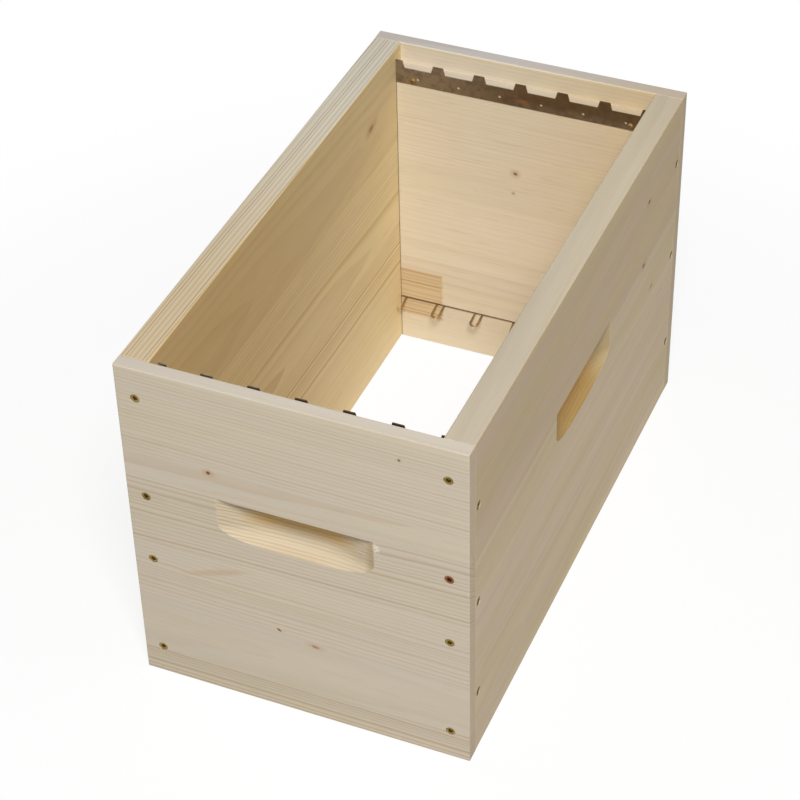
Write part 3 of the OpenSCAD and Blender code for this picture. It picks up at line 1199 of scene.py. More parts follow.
@dataclass(frozen=True)
class MetalFinish:
    """Bare, tarnished or plated metal, with a painted reflection where a pale colour is given."""

    name: str
    colour: Colour
    stain: Colour
    speck: Colour
    rough: float
    stained: float
    specked: float
    along: float = 60
    bare: float = 1.0
    # Colour of a painted reflection, paler towards the low end along X and towards the foot.
    pale: Colour | None = None
    reflection_from: float = -110 * MM
    reflection_to: float = 30 * MM
    reflection_foot: Pair = (282 * MM, 291 * MM)
    reflection_low: float = 0.3
    spots: tuple[tuple[float, float, float, float], ...] = ()
    spot_size: float = 5 * MM

    SPOT_STRETCH = (0.5, 1, 1.5)
    SPOT_WAVES = (420, 420, 420)
    SPOT_RAGGED = 4 * MM
    SPOT_CORE = 0.1
    ROLL_STAIN = 0.5
    ROLL_ROUGH = 0.16
    BLOTCH_ROUGH = 0.10
    RUST_ROUGH = 0.3
    RUST_DULL = 0.6
    RELIEF = 0.2
    RELIEF_DEPTH = 0.05 * MM

    def material(self, groups: GrainGroups) -> Material:
        """Build the metal's material from the shared tarnish."""
        made, g, shader = start_material(self.name)
        spot = g.add("ShaderNodeTexCoord").outputs["Object"]
        tarnish = g.group(groups.tarnish, Place=spot, Along=self.along)
        blotch = tarnish.outputs["Blotch"]
        rolled = tarnish.outputs["Rolled"]
        ground: Any = self.colour
        if self.pale:
            # Painted reflection: paler towards one end and towards the foot.
            x, _, z = g.parts(spot)
            reflected = g.span(x, self.reflection_from, self.reflection_to, (1, 0))
            reflected = g.math("MAXIMUM", reflected, g.span(z, *self.reflection_foot, (self.reflection_low, 0)))
            ground = g.mix(reflected, self.colour, self.pale)
        colour = g.mix(g.math("MULTIPLY", blotch, self.stained), ground, self.stain)
        colour = g.mix(g.lift(rolled, self.ROLL_STAIN), colour, self.stain)
        rust: Any = g.math("MULTIPLY", tarnish.outputs["Specks"], self.specked)
        for *place, strength in self.spots:
            node = g.add("ShaderNodeVectorMath", operation="DISTANCE")
            g.feed(node.inputs[0], g.vector("MULTIPLY", spot, self.SPOT_STRETCH))
            node.inputs[1].default_value = [a * b for a, b in zip(place, self.SPOT_STRETCH)]
            ragged = g.lift(g.noise(spot, self.SPOT_WAVES), self.SPOT_RAGGED)
            near = g.math("ADD", node.outputs["Value"], ragged)
            patch = g.span(near, self.SPOT_CORE * self.spot_size, self.spot_size, (strength, 0))
            rust = g.math("MAXIMUM", rust, patch)
        colour = g.mix(rust, colour, self.speck)
        g.feed(shader.inputs["Base Color"], colour)
        dull = g.math("MULTIPLY", rust, self.RUST_DULL)
        g.feed(shader.inputs["Metallic"], g.math("SUBTRACT", self.bare, dull))
        rough = g.math("ADD", g.lift(rolled, self.ROLL_ROUGH), self.rough)
        rough = g.math("ADD", rough, g.math("MULTIPLY", blotch, self.BLOTCH_ROUGH))
        rough = g.math("ADD", rough, g.math("MULTIPLY", rust, self.RUST_ROUGH))
        g.feed(shader.inputs["Roughness"], rough)
        g.feed(shader.inputs["Normal"], g.bump(rolled, self.RELIEF, self.RELIEF_DEPTH))
        return made


@dataclass(frozen=True)
class HandCut:
    """Handhold, cut by a disc with a rounded lower rim that turns on an upright axis."""

    width: float = 129 * MM
    height: float = 38.2 * MM
    depth: float = 14 * MM
    top: float = 206.3 * MM
    ridge_depths: tuple[float, ...] = (0.0, 0.1, 0.02, 0.12, 0.05, 0.1, 0.0, 0.11, 0.03)
    blade_gap: float = 0.05 * MM
    groove: float = 0.1 * MM
    rim_steps: int = 14
    turn_steps: int = 110
    half_sweep: float = 31

    @property
    def radius(self) -> float:
        """Radius of the cutting disc."""
        return ((self.width / 2) ** 2 + self.depth**2) / (2 * self.depth)

    def profile(self) -> list[Pair]:
        """Rim of the disc from top to bottom: ridges left by stacked blades, then a quarter round.

        Returns:
            Points of radius and height.
        """
        straight = self.height - self.depth
        rim: list[Pair] = []
        count = len(self.ridge_depths)
        for step, shallow in enumerate(self.ridge_depths):
            from_top = straight * step / count
            to_top = straight * (step + 1) / count
            rim.append((self.radius - shallow * MM, self.top - from_top - self.blade_gap * bool(step)))
            rim.append((self.radius - shallow * MM, self.top - to_top + self.blade_gap))
        centre = self.radius - self.depth
        for step in range(1, self.rim_steps + 1):
            angle = math.radians(90 * step / self.rim_steps)
            reach = self.depth - self.groove * (step % 2) * (step < self.rim_steps)
            rim.append((centre + reach * math.cos(angle), self.top - straight - reach * math.sin(angle)))
        return rim

    def cutter(self, face: float, heading: float) -> Piece:
        """Spin the disc's rim into a cutter.

        Args:
            face: Distance of the board's outer face from the middle of the body.
            heading: Turn of the cutter about Z from the front face, in degrees.

        Returns:
            The cutter object.
        """
        reach = self.radius - 3 * self.depth
        rim = self.profile()
        outline = [(reach, rim[0][1]), *rim, (reach, rim[-1][1])]
        half = math.radians(self.half_sweep)
        start = (math.sin(-half), math.cos(-half))
        points = [(r * start[0], r * start[1], z) for r, z in outline]
        made = Bench.chain("hand_cutter", points, closed=True)
        Bench.spin(made, self.turn_steps, math.degrees(2 * half))
        made.matrix_world = (
            Matrix.Rotation(math.radians(heading), 4, "Z")
            @ Matrix.Translation((0, -face - self.radius + self.depth, 0))
        )
        Bench.settle(made)
        return made


@dataclass(frozen=True)
class CornerScrew:
    """Countersunk screw that is driven through a board's face."""

    shank: float = 4 * MM
    length: float = 40 * MM
    head: float = 7.6 * MM
    sink: float = 0.4 * MM
    rim: float = 0.3 * MM
    tip: float = 6 * MM
    point: float = 0.6 * MM
    fit: float = 0.1 * MM
    recess_span: float = 4.9 * MM
    recess_depth: float = 1.9 * MM
    crown: tuple[Pair, ...] = ((0.5 * MM, 0.0), (0.16 * MM, 0.05 * MM), (0.03 * MM, 0.15 * MM))
    steps: int = 48

    def outline(self, grow: float) -> list[Point]:
        """Half outline from the head's middle to the point, for the screw or its hole.

        Args:
            grow: Extra radius and depth all over.

        Returns:
            Points in the XZ plane.
        """
        top = -self.sink
        head = self.head / 2 + grow
        shank = self.shank / 2 + grow
        neck = top - self.rim - (head - shank)
        end = top - self.length - grow
        point = self.point / 2 + grow
        rows = [(head, top - self.rim), (shank, neck), (shank, end + self.tip), (point, end), (0, end)]
        return [(x, 0, z) for x, z in rows]

    def hole(self, overrun: float) -> Piece:
        """Cutter for the screw's hole, open at the face."""
        rows = self.outline(self.fit)
        wide = rows[0][0]
        made = Bench.chain("screw_hole", [(0, 0, overrun), (wide, 0, overrun), *rows], closed=False)
        Bench.spin(made, self.steps)
        return made

    def build(self) -> Piece:
        """Model one screw with its head at the origin and its point down.

        Returns:
            The screw, with its recess faces in the second material slot.
        """
        top = -self.sink
        head = self.head / 2
        crown = [(0, 0, top), *((head - inset, 0, top - fall) for inset, fall in self.crown)]
        made = Bench.chain("corner_screw", [*crown, *self.outline(0)], closed=False)
        Bench.spin(made, self.steps)
        lobe_cut(made, top, self.recess_span, self.recess_depth)
        Bench.smooth(made, TURNED_CREASE)
        return made


@dataclass(frozen=True)
class RailScrew:
    """Round-head screw that holds a rail."""

    shank: float = 3 * MM
    length: float = 15 * MM
    head: float = 6 * MM
    head_height: float = 2.2 * MM
    tip: float = 4 * MM
    point: float = 0.6 * MM
    fit: float = 0.1 * MM
    recess_span: float = 3.4 * MM
    recess_depth: float = 1.2 * MM
    steps: int = 40
    dome_steps: int = 10

    def hole(self, overrun: float) -> Piece:
        """Cutter for the screw's hole, open at the rail."""
        wide = self.shank / 2 + self.fit
        return Bench.pin("rail_hole", wide, overrun, -self.length - self.fit, self.steps)

    def build(self) -> Piece:
        """Model one screw with its head on the rail's face and its point down."""
        dome = []
        for step in range(self.dome_steps + 1):
            angle = math.radians(90 * step / self.dome_steps)
            dome.append((self.head / 2 * math.sin(angle), 0, self.head_height * math.cos(angle)))
        shank = self.shank / 2
        end = -self.length
        rows = [(shank, 0, 0), (shank, 0, end + self.tip), (self.point / 2, 0, end), (0, 0, end)]
        made = Bench.chain("rail_screw", dome + rows, closed=False)
        Bench.spin(made, self.steps)
        lobe_cut(made, self.head_height, self.recess_span, self.recess_depth)
        Bench.smooth(made, TURNED_CREASE)
        return made


LOBES = 6
LOBE_STEPS = 48
LOBE_SWELL = 0.12
RECESS_TAPER = 0.72
RECESS_SLACK = 1.1
RECESS_LIP = 0.12 * MM


def lobe_cut(screw: Piece, top: float, span: float, depth: float) -> None:
    """Cut a six-lobed recess into a screw's head, and give its faces the second material slot.

    Args:
        screw: Screw that points down.
        top: Height of its head's top.
        span: Width of the recess across its lobes.
        depth: Depth of the recess.
    """
    ring: list[Point] = []
    for step in range(LOBE_STEPS):
        angle = math.radians(360 * step / LOBE_STEPS)
        reach = span / 2 * (1 - LOBE_SWELL + LOBE_SWELL * math.cos(LOBES * angle))
        ring.append((reach * math.cos(angle), reach * math.sin(angle), top + depth / 2))
    key = Bench.chain("recess", ring, closed=True)
    Bench.edit(key)
    bpy.ops.mesh.select_all(action="SELECT")
    bpy.ops.mesh.extrude_region_move(TRANSFORM_OT_translate={"value": (0, 0, -1.5 * depth)})
    bpy.ops.transform.resize(value=(RECESS_TAPER, RECESS_TAPER, 1), center_override=(0, 0, top - depth))
    Bench.close(key)
    Bench.cut(screw, key)
    for face in screw.data.polygons:
        inside = math.hypot(face.center.x, face.center.y) < span / 2
        sunk = top - depth * RECESS_SLACK < face.center.z < top - RECESS_LIP
        face.material_index = int(inside and sunk)


def convex(edge: Any) -> bool:
    """Whether an edge is a square outer corner."""
    return len(edge.link_faces) == 2 and edge.calc_face_angle_signed(0) > SQUARE_ANGLE


@dataclass
class Boards:
    """The four boards, lapped at the corners, with their handholds, kerfs and screw holes."""

    sizes: BodySizes
    hand: HandCut
    corner: CornerScrew
    rail_screw: RailScrew
    places: "ScrewPlaces"
    kerf_z: float = WIRE_Z
    kerf_height: float = 2.2 * MM
    kerf_depth: float = 5 * MM
    easing_steps: int = 3
    pieces: dict[str, Piece] = field(default_factory=dict)

    def build(self) -> None:
        """Model an end board and a side board, and copy each for the other end or side."""
        front = self.build_end()
        left = self.build_side()
        self.pieces = {
            "front_board": front,
            "rear_board": Bench.copy(front, "rear_end_board", HALF_TURN),
            "left_board": left,
            "right_board": Bench.copy(left, "right_side_board", HALF_TURN),
        }
        for piece in self.pieces.values():
            Bench.smooth(piece, FLAT_CREASE)

    def holes(self, reach: Callable[[Matrix], bool]) -> Piece:
        """Cutter for all screw holes that reach a board.

        Args:
            reach: Says of a screw's place whether its hole is wanted.

        Returns:
            The holes joined in one object.
        """
        cutters: list[Piece] = []
        for master, rows in (
            (self.corner.hole(self.sizes.overrun), self.places.corners()),
            (self.rail_screw.hole(self.sizes.overrun), self.places.rails()),
        ):
            cutters += [Bench.copy(master, "hole", spot) for _, _, spot in rows if reach(spot)]
            bpy.data.objects.remove(master, do_unlink=True)
        return Bench.join("holes", cutters)

    def build_end(self) -> Piece:
        """Model the front board: a full-width tongue slab, with the wall and the shelf behind it."""
        s = self.sizes
        half = s.width / 2
        inner = s.chamber_width / 2
        face_y = -s.length / 2
        back_y = -s.tongue_back
        board = Bench.block("front_end_board", (-half, face_y, 0), (half, back_y, s.height))
        Bench.edit(board)
        for x in (-inner, inner):
            Bench.split((x, 0, 0), (1, 0, 0))
        Bench.split((0, 0, s.shelf_z), (0, 0, 1))

        def wall(face: Any) -> bool:
            """Back of the slab behind the chamber, below the shelf."""
            middle = face.calc_center_median()
            return face.normal.y > 0.5 and abs(middle.x) < inner and middle.z < s.shelf_z

        Bench.pick(board, Part.FACE, wall)
        bpy.ops.mesh.extrude_region_move(TRANSFORM_OT_translate={"value": (0, s.board - s.tongue, 0)})

        def lip(edge: Any) -> bool:
            """Upper back edge of the lip, between the side boards."""
            return all(v.co.z > s.height - NEAR and abs(v.co.y - back_y) < NEAR
                       and abs(v.co.x) < inner + NEAR for v in edge.verts)

        Bench.ease(board, s.lip_arris, self.easing_steps, lip)
        Bench.edit(board)
        bpy.ops.mesh.select_all(action="SELECT")
        bpy.ops.mesh.dissolve_limited(angle_limit=FLAT_ANGLE)
        Bench.ease(board, s.arris, self.easing_steps,
                   lambda edge: all(abs(v.co.y - face_y) < NEAR for v in edge.verts))
        Bench.ease(board, s.corner_seam, self.easing_steps,
                   lambda edge: all(abs(v.co.y + s.inner_y) < NEAR for v in edge.verts)
                   and abs(edge.verts[0].co.x - edge.verts[1].co.x) < MM)
        Bench.ease(board, s.seam, self.easing_steps, convex)
        Bench.cut(board, self.hand.cutter(s.length / 2, 0))
        wall_y = -s.inner_y
        kerf = Bench.block(
            "kerf",
            (-inner - s.overrun, wall_y - self.kerf_depth, self.kerf_z - self.kerf_height / 2),
            (inner + s.overrun, wall_y + s.overrun, self.kerf_z + self.kerf_height / 2),
        )
        Bench.cut(board, kerf)
        Bench.cut(board, self.holes(lambda spot: spot.translation.y < 0))
        return board

    def build_side(self) -> Piece:
        """Model the left board, which stands between the tongues of the end boards."""
        s = self.sizes
        outer = -s.width / 2
        half = s.tongue_back
        board = Bench.block("left_side_board", (outer, -half, 0), (outer + s.board, half, s.height))
        Bench.ease(board, s.arris, self.easing_steps,
                   lambda edge: abs(edge.verts[0].co.z - edge.verts[1].co.z) < MM
                   and abs(edge.verts[0].co.y - edge.verts[1].co.y) > MM)
        Bench.ease(board, s.seam, self.easing_steps, convex)
        Bench.cut(board, self.hand.cutter(s.width / 2, -90))

        def reaches(spot: Matrix) -> bool:
            """Whether a screw at a place is driven into this board."""
            return spot.translation.x < 0 and abs(spot.translation.y) > s.inner_y

        Bench.cut(board, self.holes(reaches))
        return board

    def dress(self, groups: GrainGroups, finishes: dict[str, WoodFinish]) -> None:
        """Give each board its wood and put it in its node's place.

        Args:
            groups: Shared effects.
            finishes: Wood of each board, by node.
        """
        for node, piece in self.pieces.items():
            slot = Slot.END_BOARD if node in ("front_board", "rear_board") else Slot.SIDE_BOARD
            clad(piece, finishes[node].material(groups, self.hand, self.sizes))
            put(piece, node, slot)


@dataclass(frozen=True)
class ScrewPlaces:
    """Where the screws are driven, with the CAD node of each."""

    sizes: BodySizes
    end_x: float = 124 * MM
    end_heights: tuple[float, ...] = (28 * MM, 124.5 * MM, 189.5 * MM, 286 * MM)
    side_y: float = 232 * MM
    side_heights: tuple[float, ...] = (61 * MM, 157 * MM, 253 * MM)
    rail_x: float = 99.4 * MM
    rail_z: float = 285.8 * MM
    rail_sheet: float = RAIL_THICK
    turns: tuple[float, ...] = (12, 41, 67, 28, 83, 5, 52)

    def turn(self, count: int) -> float:
        """Turn of a screw's recess, from a short list that repeats."""
        return self.turns[count % len(self.turns)]

    def corners(self) -> list[tuple[str, str, Matrix]]:
        """Places of the corner screws.

        Returns:
            CAD node, piece name and place of each screw.
        """
        rows: list[tuple[str, str, Matrix]] = []
        for end in End:
            for side in Side:
                corner = f"{end.name.lower()}_{side.name.lower()}"
                for number, height in enumerate(self.end_heights, 1):
                    place = (side.value * self.end_x, end.value * self.sizes.length / 2, height)
                    spot = aimed(place, (0, end.value, 0), self.turn(len(rows)))
                    rows.append((f"{corner}_end_screws", f"{corner}_end_screw_{number}", spot))
                for number, height in enumerate(self.side_heights, 1):
                    place = (side.value * self.sizes.width / 2, end.value * self.side_y, height)
                    spot = aimed(place, (side.value, 0, 0), self.turn(len(rows)))
                    rows.append((f"{corner}_side_screws", f"{corner}_side_screw_{number}", spot))
        return rows

    def rails(self) -> list[tuple[str, str, Matrix]]:
        """Places of the rail screws.

        Returns:
            CAD node, piece name and place of each screw.
        """
        rows: list[tuple[str, str, Matrix]] = []
        face = self.sizes.inner_y - self.rail_sheet
        for end in End:
            for side in Side:
                place = (side.value * self.rail_x, end.value * face, self.rail_z)
                spot = aimed(place, (0, -end.value, 0), self.turn(len(rows)))
                name = f"{end.name.lower()}_rail_{side.name.lower()}_screw"
                rows.append((name, f"{name}_head", spot))
        return rows


@dataclass
class FrameRails:
    """Castellated sheet strips on the inner faces of the end boards."""

    sizes: BodySizes
    places: ScrewPlaces
    rail_screw: RailScrew
    sheet: float = RAIL_THICK
    length: float = 231 * MM
    foot_z: float = 281.8 * MM
    strip: float = 15.4 * MM
    tooth: float = 7 * MM
    tip_width: float = 9.2 * MM
    root_width: float = 12.9 * MM
    pitch: float = FRAME_PITCH
    frames: int = FRAMES
    hole: float = 2.6 * MM
    hole_z: float = 287.8 * MM
    hole_steps: int = 32
    burr: float = 0.12 * MM
    burr_angle: float = 50
    pieces: dict[str, Piece] = field(default_factory=dict)

    def build(self) -> None:
        """Model the front rail from a strip, and turn a copy round for the rear."""
        wall_y = -self.sizes.inner_y
        top = self.foot_z + self.strip
        half = self.length / 2
        teeth = tooth_places(self.frames, self.pitch)
        Bench.clear()
        bpy.ops.mesh.primitive_plane_add(size=1)
        rail = bpy.context.object
        Bench.label(rail, "front_rail")
        rail.scale = (self.length, self.strip, 1)
        rail.rotation_euler.x = math.pi / 2
        rail.location = (0, wall_y, self.foot_z + self.strip / 2)
        Bench.settle(rail)
        Bench.edit(rail)
        roots = [x + side * self.root_width / 2 for x in teeth for side in (-1, 1)]
        for x in roots:
            if abs(x) < half:
                Bench.split((x, 0, 0), (1, 0, 0))

        def root(edge: Any) -> bool:
            """Upper edge of the strip under a tooth."""
            a, b = (v.co for v in edge.verts)
            middle = (a.x + b.x) / 2
            on_top = abs(a.z - top) < NEAR and abs(b.z - top) < NEAR
            return on_top and any(abs(middle - x) < self.root_width / 2 for x in teeth)

        Bench.pick(rail, Part.EDGE, root)
        bpy.ops.mesh.extrude_region_move(TRANSFORM_OT_translate={"value": (0, 0, self.tooth)})
        draw = (self.root_width - self.tip_width) / 2
        for side in (-1, 1):
            corners = [x + side * self.root_width / 2 for x in teeth]
            Bench.pick(rail, Part.VERT, lambda v: v.co.z > top + self.tooth / 2
                       and any(abs(v.co.x - x) < NEAR for x in corners))
            bpy.ops.transform.translate(value=(-side * draw, 0, 0))
        bpy.ops.mesh.select_all(action="SELECT")
        bpy.ops.mesh.extrude_region_move(TRANSFORM_OT_translate={"value": (0, self.sheet, 0)})
        Bench.close(rail)
        Bench.cut(rail, self.drill(teeth))
        Bench.finish(rail, "BEVEL", width=self.burr, segments=2, limit_method="ANGLE",
                     angle_limit=math.radians(self.burr_angle))
        Bench.smooth(rail, FLAT_CREASE)
        self.pieces = {
            "front_frame_rail": rail,
            "rear_frame_rail": Bench.copy(rail, "rear_rail", HALF_TURN),
        }

    def drill(self, teeth: Sequence[float]) -> Piece:
        """Cutter for the small holes under the notches and the screws' holes.

        Args:
            teeth: Middles of the teeth.

        Returns:
            The holes joined in one object.
        """
        wall_y = -self.sizes.inner_y
        reach = self.sizes.overrun
        master = Bench.pin("drill", self.hole / 2, reach, -reach, self.hole_steps)
        spots = [aimed(((a + b) / 2, wall_y, self.hole_z), (0, 1, 0)) for a, b in zip(teeth, teeth[1:])]
        drills = [Bench.copy(master, "drill", spot) for spot in spots]
        bpy.data.objects.remove(master, do_unlink=True)
        small = self.rail_screw.hole(reach)
        front = [spot for _, _, spot in self.places.rails() if spot.translation.y < 0]
        drills += [Bench.copy(small, "drill", spot) for spot in front]
        bpy.data.objects.remove(small, do_unlink=True)
        return Bench.join("drills", drills)

    def dress(self, groups: GrainGroups, finish: MetalFinish) -> None:
        """Give both rails their sheet metal and put them in place."""
        made = finish.material(groups)
        for node, piece in self.pieces.items():
            clad(piece, made)
            put(piece, node, Slot.RAIL)


@dataclass
class WireSpacers:
    """One bent wire per end board, pressed into its kerf, with a loop between neighbouring frames."""

    sizes: BodySizes
    wire: float = 2 * MM
    height: float = WIRE_Z
    run: float = -3.9 * MM
    bend: float = 3 * MM
    loop: float = 7.2 * MM
    reach: float = 14 * MM
    drop: float = 4 * MM
    pitch: float = FRAME_PITCH
    frames: int = FRAMES
    bend_steps: int = 6
    loop_steps: int = 16
    round_steps: int = 3
    leans: tuple[float, ...] = (0.0, -0.7, 0.5, -0.9, 0.6, 0.9, 0.0)
    dips: tuple[float, ...] = (1.0, 0.8, 1.15, 1.3, 0.9, 1.1, 1.0)
    pieces: dict[str, Piece] = field(default_factory=dict)

    @staticmethod
    def arc(middle: Pair, radius: float, start: float, end: float, steps: int) -> list[Pair]:
        """Points on an arc, from one angle to another in degrees."""
        angles = [math.radians(start + (end - start) * n / steps) for n in range(steps + 1)]
        return [(middle[0] + radius * math.cos(a), middle[1] + radius * math.sin(a)) for a in angles]

    def route(self) -> list[Pair]:
        """Route of the wire: half a loop at each end and a full loop at every tooth between.

        Returns:
            Points along the board and out of the wall.
        """
        half = self.loop / 2
        teeth = tooth_places(self.frames, self.pitch)
        centre = self.reach - half
        points: list[Pair] = []
        for number, x in enumerate(teeth):
            first = number == 0
            last = number == self.frames
            if not first:
                middle = (x - half - self.bend, self.run + self.bend)
                points += self.arc(middle, self.bend, -90, 0, self.bend_steps)
                points.append((x - half, 0))
            points += self.arc((x, centre), half, 90 if first else 180, 90 if last else 0,
                               self.loop_steps // 2 if first or last else self.loop_steps)
            if not last:
                middle = (x + half + self.bend, self.run + self.bend)
                points.append((x + half, 0))
                points += self.arc(middle, self.bend, 180, 270, self.bend_steps)
        return points

    def bent(self, x: float, out: float, wall_y: float) -> Point:
        """Place of one point of the route, with its loop bent a little by hand.

        Args:
            x: Place along the board.
            out: Distance out of the wall.
            wall_y: Inner face of the board.

        Returns:
            The point in space.
        """
        number = round(x / self.pitch + self.frames / 2)
        share = max(0.0, out) / self.reach
        lean = self.leans[number] * MM * share
        dip = self.drop * self.dips[number] * share
        return x + lean, wall_y + out, self.height - dip

    def build(self) -> None:
        """Draw the front wire's route, give it its thickness, and turn a copy round for the rear."""
        wall_y = -self.sizes.inner_y
        points = [self.bent(x, out, wall_y) for x, out in self.route()]
        wire = Bench.chain("front_spacer", points, closed=False)
        Bench.take(wire)
        bpy.ops.object.convert(target="CURVE")
        wire = bpy.context.object
        wire.data.bevel_depth = self.wire / 2
        wire.data.bevel_resolution = self.round_steps
        wire.data.use_fill_caps = True
        bpy.ops.object.convert(target="MESH")
        wire = bpy.context.object
        Bench.close(wire)
        Bench.smooth(wire, WIRE_CREASE)
        self.pieces = {
            "front_wire_spacer": wire,
            "rear_wire_spacer": Bench.copy(wire, "rear_spacer", HALF_TURN),
        }

    def dress(self, groups: GrainGroups, finish: MetalFinish) -> None:
        """Give both wires their metal and put them in place."""
        made = finish.material(groups)
        for node, piece in self.pieces.items():
            clad(piece, made)
            put(piece, node, Slot.WIRE)


@dataclass
class Screws:
    """All the screws, copied from one corner screw and one rail screw."""

    places: ScrewPlaces
    corner: CornerScrew
    rail_screw: RailScrew
    odd_one: str = "front_right_end_screw_3"
    pieces: list[tuple[str, Piece, Slot]] = field(default_factory=list)

    def build(self) -> None:
        """Model the two screws and copy them to their places."""
        for master, rows, slot in (
            (self.corner.build(), self.places.corners(), Slot.CORNER_SCREW),
            (self.rail_screw.build(), self.places.rails(), Slot.RAIL_SCREW),
        ):
            for node, name, spot in rows:
                self.pieces.append((node, Bench.copy(master, name, spot), slot))
            bpy.data.objects.remove(master, do_unlink=True)

    def dress(
        self,
        groups: GrainGroups,
        plating: dict[Slot, MetalFinish],
        side_shade: MetalFinish,
        odd: MetalFinish,
        recess: MetalFinish,
    ) -> None:
        """Give the screws their plating, with painted shade in the recess, and put them in place.

        Args:
            groups: Shared effects.
            plating: Plating of each kind of screw.
            side_shade: Darker plating of the screws in the side boards, painted shade in their sunk
                heads.
            odd: Plating of the one odd screw.
            recess: Dark metal inside the recesses, painted shade.
        """
        # Darker plating on the side-board screws: painted shade in their sunk heads.
        side_shade_shell = side_shade.material(groups)
        shells = {slot: finish.material(groups) for slot, finish in plating.items()}
        other = odd.material(groups)
        # Painted shade: a dark metal inside the recesses.
        inner = recess.material(groups)
        for node, piece, slot in self.pieces:
            shell = side_shade_shell if "_side_" in piece.name else shells[slot]
            clad(piece, other if piece.name == self.odd_one else shell, inner)
            put(piece, node, slot)


@dataclass(frozen=True)
class Studio:
    """Camera, soft light and pale floor."""

    eye: Point = (0.60069, -1.42033, 1.40867)
    aim: Point = (-0.01214, -0.01998, 0.1408)
    roll: float = -1.431
    lens: float = 108.23
    sensor: float = 36.0
    clip: Pair = (0.05, 100)
    floor_size: float = 14.0
    floor_drop: float = 0.3 * MM
    floor_colour: Colour = (0.72, 0.72, 0.72, 1.0)
    floor_seen: Colour = (0.97, 0.97, 0.97, 1.0)
    floor_white: float = 0.85
    floor_rough: float = 0.9
    floor_near: float = 0.35
    floor_far: float = 0.75
    sky: float = 0.12
    key_place: Point = (0.83, -1.58, 2.58)
    key_size: float = 0.75
    key_power: float = 85.5

    def build(self) -> None:
        """Place the camera, the world, the key light and the floor."""
        bpy.context.scene.view_settings.view_transform = "Standard"
        self.place_camera()
        self.light_world()
        self.place_key()
        self.lay_floor()

    def place_camera(self) -> None:
        """Look at the body as the photograph does."""
        data = bpy.data.cameras.new("camera")
        data.lens = self.lens
        data.sensor_width = self.sensor
        data.clip_start, data.clip_end = self.clip
        camera = bpy.data.objects.new("camera", data)
        bpy.context.scene.collection.objects.link(camera)
        eye = Vector(self.eye)
        ahead = (Vector(self.aim) - eye).normalized()
        level = ahead.cross(Vector((0, 0, 1))).normalized()
        upright = level.cross(ahead)
        roll = math.radians(self.roll)
        right = math.cos(roll) * level + math.sin(roll) * upright
        above = math.cos(roll) * upright - math.sin(roll) * level
        turn = Matrix((right, above, -ahead)).transposed().to_4x4()
        camera.matrix_world = Matrix.Translation(eye) @ turn
        bpy.context.scene.camera = camera

    @staticmethod
    def seen(g: Graph) -> Socket:
        """Share of the rays that show the background: seen straight, mirrored or through glass."""
        path = g.add("ShaderNodeLightPath").outputs
        both = g.math("ADD", path["Is Camera Ray"], path["Is Glossy Ray"])
        return g.math("ADD", both, path["Is Transmission Ray"], clamp=True)

    def light_world(self) -> None:
        """Fill light from all round, with a white background where it is seen."""
        world = bpy.data.worlds.new("studio")
        world.use_nodes = True
        bpy.context.scene.world = world
        g = Graph(world.node_tree)
        fill = world.node_tree.nodes["Background"]
        fill.inputs["Color"].default_value = (1, 1, 1, 1)
        fill.inputs["Strength"].default_value = self.sky
        white = g.add("ShaderNodeBackground")
        white.inputs["Color"].default_value = (1, 1, 1, 1)
        white.inputs["Strength"].default_value = 1
        swap = g.add("ShaderNodeMixShader")
        g.feed(swap.inputs[0], self.seen(g))
        g.feed(swap.inputs[1], fill.outputs[0])
        g.feed(swap.inputs[2], white.outputs[0])
        g.feed(world.node_tree.nodes["World Output"].inputs["Surface"], swap.outputs[0])

    def place_key(self) -> None:
        """One large soft light from the front, right and above."""
        data = bpy.data.lights.new("key", "AREA")
        data.shape = "SQUARE"
        data.size = self.key_size
        data.energy = self.key_power
        key = bpy.data.objects.new("key", data)
        bpy.context.scene.collection.objects.link(key)
        away = Vector(self.key_place) - Vector(self.aim)
        turn = away.to_track_quat("Z", "Y").to_matrix().to_4x4()
        key.matrix_world = Matrix.Translation(self.key_place) @ turn

    def lay_floor(self) -> None:
        """Pale floor that is seen nearly white and keeps a soft shadow."""
        Bench.clear()
        bpy.ops.mesh.primitive_plane_add(size=self.floor_size, location=(0, 0, -self.floor_drop))
        floor = bpy.context.object
        floor.name = "floor"
        made, g, shader = start_material("pale_floor")
        seen = self.seen(g)
        g.feed(shader.inputs["Base Color"], g.mix(seen, self.floor_colour, self.floor_seen))
        shader.inputs["Roughness"].default_value = self.floor_rough
        shader.inputs["Specular IOR Level"].default_value = 0.0
        glow = g.add("ShaderNodeEmission")
        swap = g.add("ShaderNodeMixShader")
        away = g.add("ShaderNodeVectorMath", operation="LENGTH")
        g.feed(away.inputs[0], g.add("ShaderNodeTexCoord").outputs["Object"])
        white = g.span(away.outputs["Value"], self.floor_near, self.floor_far, (self.floor_white, 1.0))
        g.feed(swap.inputs[0], g.math("MULTIPLY", seen, white))
        g.feed(swap.inputs[1], shader.outputs[0])
        g.feed(swap.inputs[2], glow.outputs[0])
        g.feed(made.node_tree.nodes["Material Output"].inputs["Surface"], swap.outputs[0])
        floor.data.materials.append(made)
        Bench.clear()


BOARD_MIDDLE = 238 * MM
SIDE_MIDDLE = 128 * MM
